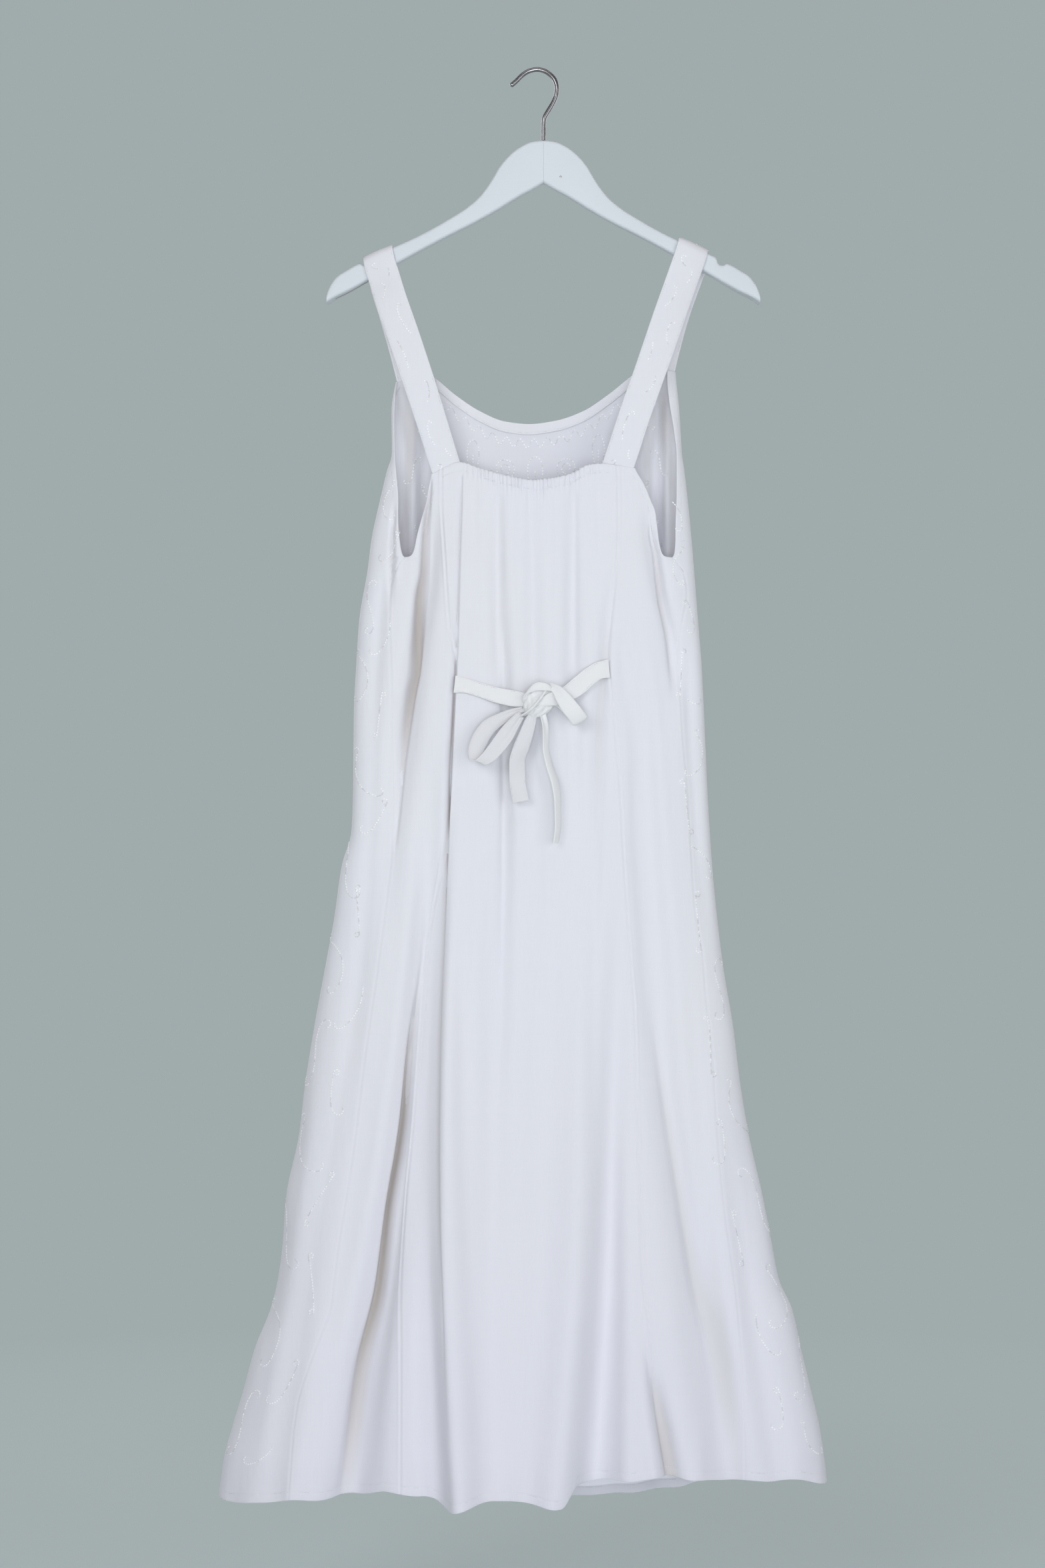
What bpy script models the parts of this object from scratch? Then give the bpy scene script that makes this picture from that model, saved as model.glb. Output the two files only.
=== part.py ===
"""A sleeveless maxi dress that hangs by its two straps from a contoured wooden hanger.

The back of the dress faces -Y, +X is to the viewer's right and +Z is up. The origin is the
underside of the hook's crown, where a rail or a nail carries the hanger. Tables are in
millimetres, and "drop" is the distance below the origin. The body's plan sections are lens
shapes, one for each row of BODY, and soft folds are added to them along their normals.
"""

import math
from collections import namedtuple

import bmesh
import bpy
import numpy as np

MM = 0.001
CLOTH = 1.5
SEAM_GAP = 0.4
REST_GAP = 0.35
BLUNTNESS = 0.85
ANGLE_STEP = 0.006

# Drop at which the armholes end and the side seams begin
ARMHOLE_BOTTOM = 497
HEM_LEVEL = 1440
FRONT_TOP_LEVEL = 330
BACK_TOP_LEVEL = 410
TOP_STEPS = 6

# Plan sections: drop, left edge x, right edge x, y of both edges, depth towards the viewer,
# depth towards the wall
BODY = (
    (300, -142, 141, 12, 16, 12),
    (315, -144.5, 142.5, 11, 18, 13),
    (345, -149, 145.5, 10, 22, 14),
    (389, -148.5, 148, 7, 26, 18),
    (407, -153.5, 150.5, 6, 27, 19),
    (435, -160, 153.5, 4, 28, 21),
    (477, -169, 157.5, 2, 29, 24),
    (509, -173, 160, 0, 30, 26),
    (560, -181.5, 164, 0, 31, 27),
    (604, -184.5, 167.5, 0, 31, 27),
    (653, -187, 170, 0, 31, 27),
    (741, -188, 174, 0, 33, 28),
    (775, -189.5, 176, 0, 34, 28),
    (811, -199.5, 178.5, 0, 36, 28),
    (863, -207, 183.5, 0, 39, 29),
    (915, -216.5, 190, 0, 42, 29),
    (972, -227, 199.5, 0, 46, 30),
    (1035, -237, 207.5, 0, 50, 31),
    (1085, -243, 216, 0, 54, 32),
    (1147, -256, 230, 0, 57, 33),
    (1199, -260, 240, 0, 60, 34),
    (1232, -264.5, 246.5, 0, 62, 34),
    (1262, -272, 260, 0, 64, 35),
    (1302, -288, 269, 0, 66, 36),
    (1346, -300, 279.5, 0, 68, 37),
    (1382, -311, 288, 0, 70, 37),
    (1417, -320, 293, 0, 72, 38),
    (1450, -324, 296, 0, 73, 38),
)

# Seams on the viewer's side: drop, x
SIDE_SEAM_LEFT = (
    (497, -136), (512, -145), (530, -150), (560, -150), (630, -148), (720, -147), (800, -149),
    (850, -154), (900, -160), (1000, -174), (1100, -186), (1200, -201), (1250, -207),
    (1300, -224), (1350, -240), (1380, -244), (1450, -248),
)
SIDE_SEAM_RIGHT = (
    (497, 140), (512, 151), (530, 153), (566, 147), (594, 143), (626, 145), (678, 148),
    (742, 154), (800, 157), (850, 160), (902, 168), (941, 171), (993, 177), (1072, 182),
    (1149, 189), (1253, 203), (1342, 209), (1450, 211),
)
BACK_SEAM_LEFT = (
    (400, -97), (432, -97), (509, -93), (565, -89), (617, -82.5), (636, -84), (684, -86),
    (743, -89), (811, -98), (890, -112), (1019, -123), (1076, -127), (1149, -133),
    (1253, -137), (1450, -137),
)
BACK_SEAM_RIGHT = (
    (400, 81), (457, 82), (509, 80), (560, 75), (600, 72), (621, 74), (665, 78), (722, 83),
    (811, 88), (915, 95), (952, 98), (1083, 101), (1219, 105), (1274, 112), (1349, 118),
    (1408, 129), (1450, 133),
)

# Armhole edges, from the strap corner down to the side seam: drop, x
ARMHOLE_FRONT_LEFT = (
    (300, -143), (315, -144.5), (362, -146.5), (385, -146), (413, -143.5), (434, -141.5),
    (454, -141.3), (470, -140), (486, -138),
)
ARMHOLE_FRONT_RIGHT = (
    (300, 141), (335, 143), (362, 143), (407, 145), (436, 143), (453, 141), (486, 139.5),
)
ARMHOLE_BACK_LEFT = (
    (405, -105), (412, -107), (427, -110.8), (441, -113), (462, -117.6), (475, -122), (490, -127),
)
ARMHOLE_BACK_RIGHT = (
    (400, 98), (406, 99.3), (424, 109), (440, 115.6), (450, 119.7), (464, 121.7), (479, 123.5),
    (488, 129),
)

# Top edges and hems: x, drop
FRONT_NECKLINE = (
    (-144, 315.5), (-108, 308.8), (-104.5, 310.8), (-83.6, 327.8), (-58.5, 344.1), (-33.3, 354.3), (-8.2, 357),
    (19, 353.6), (46.9, 344.1), (72.1, 327.8), (97.2, 308), (103.4, 303.4), (106, 302.6),
    (140.8, 305.3),
)
BACK_NECKLINE = (
    (-107, 412.3), (-79, 400.4), (-60, 406.3), (-41, 411.8), (-24, 416.2), (-5, 418.9),
    (12, 417.5), (26, 414.8), (38, 410.7), (51, 403.6), (66, 402), (99, 406.3),
)
HEM_NEAR = (
    (-324, 1453), (-293, 1451), (-239, 1444), (-185, 1442), (-152, 1434), (-116, 1438),
    (-79, 1449), (-44, 1441), (-4, 1444), (22, 1447), (42, 1428), (90, 1422), (133, 1420),
    (189, 1427), (257, 1429), (296, 1437),
)
HEM_FAR = (
    (-324, 1453), (-200, 1452), (-150, 1449), (0, 1457), (50, 1460), (93, 1458), (133, 1450),
    (171, 1443), (230, 1440), (296, 1437),
)

# Folds: side is 1 towards the viewer and -1 towards the wall. Rows hold drop, x, half width,
# height (outwards is positive) and how far the crest leans to the right.
Fold = namedtuple("Fold", "side rows")
FOLDS = (
    # left: below the armhole, running out over the waist
    Fold(1, ((440, -106, 8, 0, 0), (500, -109, 10, -8, 0), (630, -129, 12, -9, 0),
             (720, -141, 14, -7, 0), (800, -150, 14, -4, 0), (900, -156, 14, 0, 0))),
    # left: the deep valley of the skirt
    Fold(1, ((690, -107, 14, 0, 0), (800, -109, 16, -7, 0), (900, -113, 18, -13, 0),
             (1070, -126, 20, -19, 0), (1200, -142, 21, -25, 0), (1320, -168, 23, -29, 0),
             (1460, -186, 25, -30, 0))),
    # left: the valley between the back seam and the centre flute
    Fold(1, ((820, -100, 9, 0, 0), (950, -108, 9, -8, 0), (1070, -113, 11, -16, 0),
             (1200, -115, 14, -22, 0), (1320, -112, 15, -26, 0), (1460, -102, 16, -27, 0))),
    # centre: left crest of the flute
    Fold(1, ((740, -80, 10, 0, 0), (1000, -88, 13, 9, -4), (1200, -87, 16, 15, -7),
             (1460, -70, 19, 18, -8))),
    # centre: soft troughs below the gathers
    Fold(1, ((425, -42, 9, -2, 0), (520, -41, 9, -4.5, 0), (640, -37, 10, -5, 0),
             (800, -37, 12, -6, 0), (1000, -42, 14, -5, 0), (1200, -45, 16, -4, 0),
             (1460, -48, 18, -3, 0))),
    Fold(1, ((430, -4, 9, -1.5, 0), (600, -4, 10, -4, 0), (800, 0, 12, -3, 0),
             (1000, 0, 14, 0, 0))),
    Fold(1, ((425, 36, 9, -2, 0), (600, 35, 10, -5, 0), (800, 38, 12, -3, 0), (960, 39, 14, 0, 0))),
    # centre: right crest of the flute, and the valley beside it
    Fold(1, ((800, 50, 12, 0, 0), (1000, 44, 14, 4, 0), (1200, 36, 17, 7, 1),
             (1460, 14, 20, 10, 2))),
    Fold(1, ((820, 84, 12, 0, 0), (1000, 78, 14, -7, 0), (1200, 73, 17, -14, 0),
             (1460, 58, 21, -24, 0))),
    # right: below the armhole
    Fold(1, ((440, 112, 7, 0, 0), (480, 116, 8, -7, 0), (530, 125, 8, -8, 0),
             (590, 139, 9, -5, 0), (650, 144, 9, 0, 0))),
    # right: the long soft valleys of the skirt
    Fold(1, ((600, 108, 10, 0, 0), (700, 110, 12, -4, 0), (800, 115, 14, -6, 0),
             (1000, 129, 18, -9, 0), (1200, 158, 21, -12, 0), (1460, 198, 25, -15, 0))),
    Fold(1, ((1310, 112, 8, 0, 0), (1360, 120, 9, -7, 0), (1400, 130, 9, -7, 0),
             (1460, 138, 10, -2, 0))),
    Fold(1, ((960, -190, 16, 0, 0), (1150, -212, 20, 5, 0), (1460, -252, 26, 9, 0))),
    Fold(1, ((1000, 196, 16, 0, 0), (1200, 214, 18, -6, 0), (1460, 250, 20, -9, 0))),
    # wall side: plain flutes like those of the back
    Fold(-1, ((360, -92, 8, 0, 0), (450, -100, 9, -5, 0), (560, -108, 11, -6, 0),
              (700, -112, 14, 0, 0))),
    Fold(-1, ((360, 96, 8, 0, 0), (450, 104, 9, -5, 0), (560, 110, 11, -6, 0),
              (700, 114, 14, 0, 0))),
    Fold(-1, ((620, -128, 14, 0, 0), (900, -148, 20, -6, 0), (1200, -176, 26, -11, 0),
              (1460, -212, 30, -14, 0))),
    Fold(-1, ((640, -52, 14, 0, 0), (900, -62, 20, -6, 0), (1200, -78, 26, -11, 0),
              (1460, -94, 30, -14, 0))),
    Fold(-1, ((640, 14, 14, 0, 0), (900, 18, 20, -5, 0), (1200, 22, 26, -10, 0),
              (1460, 24, 30, -13, 0))),
    Fold(-1, ((620, 84, 14, 0, 0), (900, 96, 20, -6, 0), (1200, 118, 26, -11, 0),
              (1460, 142, 30, -14, 0))),
)

# The band inside the front neckline, and the gathered casing of the back neckline
NECK_FACING_SPAN = (-104, 103)
NECK_FACING_DEPTH = 11
NECK_FACING_CLOTH = 1.2
CASING_DEPTH = 10
CASING_CLOTH = 2.2
GATHERS = 24
GATHER_HEIGHT = 0.9
GATHER_SPAN = (-78, 65)

# The hanger: half the bar, by distance from its middle: distance, top drop, bottom drop
HANGER_MIDDLE = 6.4
HANGER_BAR = (
    (0.2, 71.1, 114.8), (12, 72.6, 121.6), (24, 78, 128), (34, 85.6, 134), (44, 97, 140.2),
    (51, 108.8, 144.2), (57.3, 118.3, 147.8), (64, 126.8, 151.4), (72, 134.3, 155.5),
    (84, 143, 161.3), (98, 151.2, 168), (112, 159, 175), (138.4, 171.6, 188.6),
    (163, 181.6, 201.4), (172, 185.4, 206.3), (176.8, 187.6, 209), (178.4, 192.6, 209.8),
    (181, 195.2, 211.4), (184.4, 195.4, 213.2), (188, 193.6, 215.1), (194, 195.7, 218.3),
    (202, 200.2, 222.2), (210, 204.8, 225.6), (215, 210, 228), (219.5, 217, 230.6),
    (222.5, 225.4, 232.6),
)
HANGER_HALF_LENGTH = 224
HANGER_BOW = 30
HANGER_THICKNESS = 13
HANGER_FLARE = 12
HANGER_ROUNDING = 3.6

# The hook's wire: x, drop of its centre line
HOOK_WIRE = 3.8
HOOK_PATH = (
    (6.4, 70.6), (6.4, 60), (6.6, 50), (10.6, 41.6), (15.6, 33.4), (19.4, 24), (20.1, 16.4),
    (18.2, 9.4), (13, 3.2), (6.6, -0.6), (0, -1.9), (-7.4, -0.6), (-14.6, 3.4), (-20.8, 9.6),
    (-27.3, 15.2),
)

# Straps and ties as ribbons: x, y, drop, width, tilt and turn in degrees. The width runs along
# +X at no tilt and no turn. Tilt lifts its right end, and turn takes it towards the wall.
STRAP_LEFT = (
    (-92.9, -15.6, 404, 30.4, 23.2, 0), (-106, -14.6, 363, 31, 23, 0),
    (-119.4, -12.4, 321, 32, 23, 0), (-134, -8, 277, 32.5, 23, -4), (-149, -1, 234, 33, 23, -8),
    (-156.6, 4.8, 209, 33, 22.6, -11), (-160.8, 5.6, 196, 33, 22.4, -11),
    (-162.6, 7, 187, 33, 22.3, -11), (-163.2, 11.6, 182.2, 33, 22.3, -11),
    (-163.3, 17.1, 181.2, 33, 22.3, -11), (-163, 22.6, 182.2, 33, 22.3, -11),
    (-162.2, 27.2, 187, 33, 22.3, -11), (-160, 28.6, 196, 33, 21, -11),
    (-156, 28.4, 212, 33, 19, -9), (-147, 25.6, 240, 33.5, 16, -5), (-136, 22.6, 276, 34.5, 12, -2),
    (-125.6, 18.6, 310.7, 37, 9, 0),
)
STRAP_RIGHT = (
    (82.5, -15.6, 402.3, 32.6, -7, 0), (98, -14.6, 355, 32, -12, 0),
    (113.2, -12.2, 312, 32, -16, 0), (124, -9, 281, 32.5, -18, 4), (135, -4, 249, 33, -20, 8),
    (148, 2, 212, 33, -22, 11), (154.4, 2.6, 194, 33, -22.3, 11),
    (158.4, 3.6, 181.6, 33, -22.3, 11), (160, 8, 175.4, 33, -22.3, 11),
    (160.9, 14.2, 174, 33, -22.3, 11), (161, 20.2, 175.4, 33, -22.3, 11),
    (160.4, 25.4, 182, 33, -22, 11), (158.4, 26.2, 193, 33, -21, 11),
    (153, 25.8, 208, 33, -19, 9), (141, 23.8, 241, 33.5, -14, 5), (131.6, 21.4, 272, 34.5, -9, 2),
    (123.2, 18.4, 303.2, 35.4, -4.5, 0),
)
TIE_LEFT = (
    (-83.6, -30, 626.2, 17.8, 84, 0), (-72, -31.4, 627.8, 14.6, 78, 0),
    (-57, -33, 632.4, 14.4, 74, 0), (-41, -34.6, 637.4, 15.4, 72, 0),
    (-25, -36, 640.6, 16.4, 74, 0), (-12.3, -37, 642.6, 14, 80, 0),
)
TIE_RIGHT = (
    (72.6, -29.6, 610.4, 18.6, 95, 0), (63, -31.6, 612.2, 17.4, 108, 0),
    (52.4, -33.6, 618.8, 18, 116, 0), (43, -35, 626.8, 18.4, 120, 0),
    (32.4, -36.2, 634.4, 16.6, 114, 0), (19.2, -37, 641.6, 13, 102, 0),
)
LOOP_LEFT = (
    (-14.2, -42.6, 656, 9, -52, 0), (-23, -48, 660.8, 14, -54, 0),
    (-36, -53.6, 669.6, 18, -50, 0), (-49, -55.4, 682.6, 19, -42, 0),
    (-58, -53.4, 696, 18, -36, 0), (-61.6, -49, 703, 17, -32, 0),
    (-60.4, -44, 704.6, 17, -30, 0), (-53, -40.6, 699.6, 18, -34, 0),
    (-40, -39.6, 689, 18, -44, 0), (-25, -39.6, 675, 15, -54, 0),
    (-9.4, -40.2, 662.6, 8, -60, 0),
)
LOOP_RIGHT = (
    (24, -42.4, 637, 11, 62, 0), (29.6, -47, 641.4, 15, 56, 0), (36.6, -50.4, 648.4, 18, 44, 0),
    (43.4, -49.6, 657, 18.6, 36, 0), (46.4, -46, 662.6, 18, 32, 0), (45, -42.2, 664.8, 17, 32, 0),
    (38, -40.4, 660, 17, 38, 0), (29.4, -39.8, 653, 15, 48, 0), (24.6, -39.8, 649.4, 11, 56, 0),
)
END_LEFT = (
    (-5.2, -44, 660.95, 9.6, 2, 0), (-11, -45, 673, 12.6, 2, 0),
    (-18, -44.6, 692, 15.8, 0, 10), (-21.4, -43, 708, 15, 0, 22), (-20.6, -42, 724, 15, 0, 10),
    (-17.6, -41.4, 743.6, 16.4, 0, 0),
)
END_RIGHT = (
    (4.6, -43, 660.95, 7, 0, 20), (9.8, -44, 680, 10, 0, 44), (13.4, -43.4, 700, 10.4, 0, 40),
    (17, -42.4, 724, 11, 0, 36), (18.8, -41.6, 752, 9.4, 0, 52), (18.6, -41.4, 786.4, 8, 0, 54),
)
TIE_CLOTH = 1.8
LOOP_CLOTH = 1.5

# The knot, by distance down: drop, middle x, half width, half depth. It lies in front of the body.
KNOT_Y = -42.6
KNOT = (
    (629.4, 4, 9, 3), (631.4, 4, 14, 6), (636, 4, 17, 8.4), (643.6, 3.4, 17.4, 9),
    (651, 2.4, 17, 8.6), (656.4, 1.4, 14.4, 7), (659, 0.6, 10.6, 5), (660.4, 0.2, 6, 2.6),
)

# Samples along and across the pieces
FRONT_COLUMNS = 36
BACK_COLUMNS = 24
SIDE_COLUMNS = 7
BODICE_ROWS = 5
FRONT_BODICE_ROWS = 7
SKIRT_ROWS = 23
CASING_COLUMNS = 4 * GATHERS
FACING_COLUMNS = 26


def smooth(rows, column, at):
    """The value of one column at the given places, on a smooth curve that never overshoots its rows."""
    knots = np.array([row[0] for row in rows], float)
    values = np.array([row[column] for row in rows], float)
    rise = np.diff(values) / np.diff(knots)
    product = rise[1:] * rise[:-1]
    total = np.where(product > 0, rise[1:] + rise[:-1], 1)
    slopes = np.concatenate([rise[:1], np.where(product > 0, 2 * product / total, 0), rise[-1:]])
    at = np.clip(np.asarray(at, float), knots[0], knots[-1])
    low = np.clip(np.searchsorted(knots, at, side="right") - 1, 0, len(knots) - 2)
    span = knots[low + 1] - knots[low]
    t = (at - knots[low]) / span
    return (
        values[low] * (1 + 2 * t) * (1 - t) ** 2
        + values[low + 1] * t * t * (3 - 2 * t)
        + slopes[low] * span * t * (1 - t) ** 2
        - slopes[low + 1] * span * t * t * (1 - t)
    )


def blend(start, end, share):
    return start + (end - start) * share


def body_outline(angle, drop):
    """A point of the plan section: angle 0 at the right edge, a quarter turn on at the viewer's side."""
    left, right, plane, near, far = (smooth(BODY, column, drop) for column in range(1, 6))
    sine = np.sin(angle)
    depth = np.where(sine >= 0, -near, far) * np.abs(sine) ** BLUNTNESS
    return blend(left, right, (1 + np.cos(angle)) / 2), plane + depth


def normal_of(curve, angle, drop):
    """The outward plan normal of a closed curve, by a central difference."""
    x0, y0 = curve(angle - ANGLE_STEP, drop)
    x1, y1 = curve(angle + ANGLE_STEP, drop)
    length = np.hypot(x1 - x0, y1 - y0)
    return (y0 - y1) / length, (x1 - x0) / length


def folded_outline(angle, drop):
    """The plan section with its folds."""
    x, y = body_outline(angle, drop)
    sine = np.sin(angle)
    fade = np.clip(np.abs(sine) / 0.4, 0, 1)
    fade = fade * fade * (3 - 2 * fade)
    height = np.zeros_like(x)
    lean = np.zeros_like(x)
    for fold in FOLDS:
        place, width, size, slant = (smooth(fold.rows, column, drop) for column in range(1, 5))
        share = np.where(sine * fold.side > 0, np.exp(-(((x - place) / width) ** 2)), 0)
        height = height + size * share
        lean = lean + slant * share
    across, along = normal_of(body_outline, angle, drop)
    return x + (across * height + lean) * fade, y + along * height * fade


def body_point(angle, drop, lift):
    """A point of the cloth, moved out by lift, in metres."""
    angle, drop = np.broadcast_arrays(np.asarray(angle, float), np.asarray(drop, float))
    x, y = folded_outline(angle, drop)
    across, along = normal_of(folded_outline, angle, drop)
    return np.stack([x + across * lift, y + along * lift, -drop], axis=-1) * MM


def angle_at(x, drop):
    """The angle of a place on the viewer's side."""
    left, right = (smooth(BODY, column, drop) for column in (1, 2))
    return np.arccos(np.clip((2 * x - left - right) / (right - left), -1, 1))


def edge_angle(rows, drop, inwards):
    """The angle of a panel's edge, moved into the panel by half a seam gap."""
    angle = angle_at(smooth(rows, 1, drop), drop)
    x0, y0 = folded_outline(angle - ANGLE_STEP, drop)
    x1, y1 = folded_outline(angle + ANGLE_STEP, drop)
    speed = np.hypot(x1 - x0, y1 - y0) / (2 * ANGLE_STEP)
    return angle + inwards * SEAM_GAP / 2 / speed


def hem_drop(angle):
    x, _ = body_outline(angle, np.full_like(angle, HEM_LEVEL))
    return np.where(np.sin(angle) >= 0, smooth(HEM_NEAR, 1, x), smooth(HEM_FAR, 1, x))


Panel = namedtuple("Panel", "left right turns top top_level lowered")
SIDE_LEFT_FRONT = ARMHOLE_FRONT_LEFT + SIDE_SEAM_LEFT
SIDE_RIGHT_FRONT = ARMHOLE_FRONT_RIGHT + SIDE_SEAM_RIGHT
SIDE_LEFT_BACK = ARMHOLE_BACK_LEFT + SIDE_SEAM_LEFT
SIDE_RIGHT_BACK = ARMHOLE_BACK_RIGHT + SIDE_SEAM_RIGHT
FRONT = Panel(SIDE_LEFT_FRONT, SIDE_RIGHT_FRONT, 1, FRONT_NECKLINE, FRONT_TOP_LEVEL, REST_GAP)
BACK_LEFT = Panel(SIDE_LEFT_BACK, BACK_SEAM_LEFT, 0, BACK_NECKLINE, BACK_TOP_LEVEL, REST_GAP)
BACK_RIGHT = Panel(BACK_SEAM_RIGHT, SIDE_RIGHT_BACK, 0, BACK_NECKLINE, BACK_TOP_LEVEL, REST_GAP)
BACK_CENTRE = Panel(
    BACK_SEAM_LEFT, BACK_SEAM_RIGHT, 0, BACK_NECKLINE, BACK_TOP_LEVEL, CASING_DEPTH + REST_GAP
)


def panel_angle(panel, share, drop):
    """The angle at a share of the way across a panel, from its left edge to its right edge."""
    inwards = 1 if panel.turns else -1
    left = edge_angle(panel.left, drop, inwards)
    right = edge_angle(panel.right, drop, -inwards) + 2 * math.pi * panel.turns
    return blend(left, right, share)


def top_drop(panel, share):
    """The drop of a panel's top edge, found in a few steps because the edge angles change with it."""
    level = np.full_like(share, panel.top_level)
    for _ in range(TOP_STEPS):
        x, _ = body_outline(panel_angle(panel, share, level), level)
        level = smooth(panel.top, 1, x)
    return level


def panel_grid(panel, columns, bodice_rows, skirt_rows):
    """Angles and drops of a panel's grid, with the same levels below the armholes on every panel."""
    share = np.linspace(0, 1, columns + 1)
    top = top_drop(panel, share) + panel.lowered
    hem = hem_drop(panel_angle(panel, share, np.full_like(share, HEM_LEVEL)))
    bodice = np.linspace(0, 1, bodice_rows + 1)[:-1, None]
    skirt = np.linspace(0, 1, skirt_rows + 1)[:, None]
    drop = np.concatenate(
        [blend(top, ARMHOLE_BOTTOM, bodice), blend(float(ARMHOLE_BOTTOM), hem, skirt)]
    )
    return panel_angle(panel, np.broadcast_to(share, drop.shape), drop), drop


def material(name, colour, roughness, metallic=0.0):
    made = bpy.data.materials.new(name)
    made.use_nodes = True
    shader = made.node_tree.nodes["Principled BSDF"]
    shader.inputs["Base Color"].default_value = (*colour, 1)
    shader.inputs["Roughness"].default_value = roughness
    shader.inputs["Metallic"].default_value = metallic
    return made


def add_solid(name, points, faces, look):
    """A closed mesh object with its faces pointing out."""
    mesh = bpy.data.meshes.new(name)
    mesh.from_pydata([tuple(point) for point in points], [], faces)
    mesh.materials.append(look)
    shape = bmesh.new()
    shape.from_mesh(mesh)
    bmesh.ops.recalc_face_normals(shape, faces=shape.faces)
    shape.to_mesh(mesh)
    shape.free()
    mesh.shade_smooth()
    mesh.set_sharp_from_angle(angle=math.radians(40))
    solid = bpy.data.objects.new(name, mesh)
    bpy.context.collection.objects.link(solid)
    return solid


def add_wall(name, outside, inside, look):
    """A cloth wall between two grids of points, closed round its four edges."""
    rows, columns, _ = outside.shape
    count = rows * columns
    index = np.arange(count).reshape(rows, columns)
    faces = []
    for row in range(rows - 1):
        for column in range(columns - 1):
            corners = [
                int(index[row, column]),
                int(index[row, column + 1]),
                int(index[row + 1, column + 1]),
                int(index[row + 1, column]),
            ]
            faces.append(corners)
            faces.append([corner + count for corner in reversed(corners)])
    rim = [int(i) for i in index[0]]
    rim += [int(i) for i in index[1:, -1]]
    rim += [int(i) for i in index[-1, -2::-1]]
    rim += [int(i) for i in index[-2:0:-1, 0]]
    for here, after in zip(rim, rim[1:] + rim[:1]):
        faces.append([after, here, here + count, after + count])
    points = np.concatenate([outside.reshape(-1, 3), inside.reshape(-1, 3)])
    return add_solid(name, points, faces, look)


def add_body_wall(name, angle, drop, outer_lift, inner_lift, look):
    outside = body_point(angle, drop, outer_lift)
    inside = body_point(angle, drop, inner_lift)
    return add_wall(name, outside, inside, look)


def add_panel(name, panel, columns, bodice_rows, look):
    angle, drop = panel_grid(panel, columns, bodice_rows, SKIRT_ROWS)
    return add_body_wall(name, angle, drop, 0, -CLOTH, look)


def add_neck_casing(look):
    """The gathered band at the top of the back, with its gathers raised over a plain inside."""
    share = np.linspace(0, 1, CASING_COLUMNS + 1)
    panel_share = np.linspace(0, 1, BACK_COLUMNS + 1)
    level = np.interp(share, panel_share, top_drop(BACK_CENTRE, panel_share))
    drop = level + np.linspace(0, CASING_DEPTH, 3)[:, None]
    angle = panel_angle(BACK_CENTRE, np.broadcast_to(share, drop.shape), drop)
    x, _ = body_outline(angle, drop)
    start, end = GATHER_SPAN
    place = np.clip((x - start) / (end - start), 0, 1)
    fullness = np.clip(12 * place * (1 - place), 0, 1)
    wave = fullness * GATHER_HEIGHT * np.sin(2 * math.pi * GATHERS * place)
    return add_body_wall("back_neck_casing", angle, drop, wave, -CASING_CLOTH, look)


def add_neck_facing(look):
    """The band that finishes the front neckline, on the inside of the front."""
    x = np.linspace(*NECK_FACING_SPAN, FACING_COLUMNS + 1)
    drop = smooth(FRONT_NECKLINE, 1, x) + REST_GAP + np.linspace(0, NECK_FACING_DEPTH, 3)[:, None]
    angle = 2 * math.pi - angle_at(np.broadcast_to(x, drop.shape), drop)
    outer = -CLOTH - REST_GAP
    return add_body_wall("front_neck_facing", angle, drop, outer, outer - NECK_FACING_CLOTH, look)


def ribbon_grid(rows, along, across):
    """Middle points and unit normals of a ribbon, sampled along its rows and across its width."""
    table = np.array(rows, float)
    place = np.arange(len(table), dtype=float)
    at = np.linspace(0, len(table) - 1, along + 1)
    numbered = [(step, *row) for step, row in zip(place, table)]
    x, y, drop, width, tilt, turn = (smooth(numbered, column, at) for column in range(1, 7))
    tilt, turn = np.radians(tilt), np.radians(turn)
    middle = np.stack([x, y, -drop], axis=-1)
    side = np.stack([np.cos(tilt) * np.cos(turn), np.sin(turn), np.sin(tilt) * np.cos(turn)], axis=-1)
    tangent = np.gradient(middle, axis=0)
    normal = np.cross(side, tangent)
    normal = normal / np.linalg.norm(normal, axis=-1, keepdims=True)
    spread = np.linspace(-0.5, 0.5, across + 1)[None, :, None] * (side * width[:, None])[:, None, :]
    points = middle[:, None, :] + spread
    return points, np.broadcast_to(normal[:, None, :], points.shape)


def add_ribbon(name, rows, along, across, thickness, look):
    points, normals = ribbon_grid(rows, along, across)
    half = normals * thickness / 2
    return add_wall(name, (points + half) * MM, (points - half) * MM, look)


def add_rings(name, rings, look):
    """A solid through closed rings of equal length, with a flat face at each end."""
    count = len(rings[0])
    points = np.concatenate(rings)
    faces = [list(range(count)), list(range(len(points) - count, len(points)))]
    for ring in range(len(rings) - 1):
        for corner in range(count):
            after = (corner + 1) % count
            first, second = ring * count, (ring + 1) * count
            faces.append([first + corner, first + after, second + after, second + corner])
    return add_solid(name, points, faces, look)


def add_knot(look):
    """The bow's knot, as a stack of level ovals."""
    turn = np.linspace(0, 2 * math.pi, 13)[:-1]
    rings = [
        np.stack(
            [
                x + half_width * np.cos(turn),
                KNOT_Y + half_depth * np.sin(turn),
                np.full_like(turn, -drop),
            ],
            axis=-1,
        )
        * MM
        for drop, x, half_width, half_depth in KNOT
    ]
    return add_rings("bow_knot", rings, look)


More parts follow.
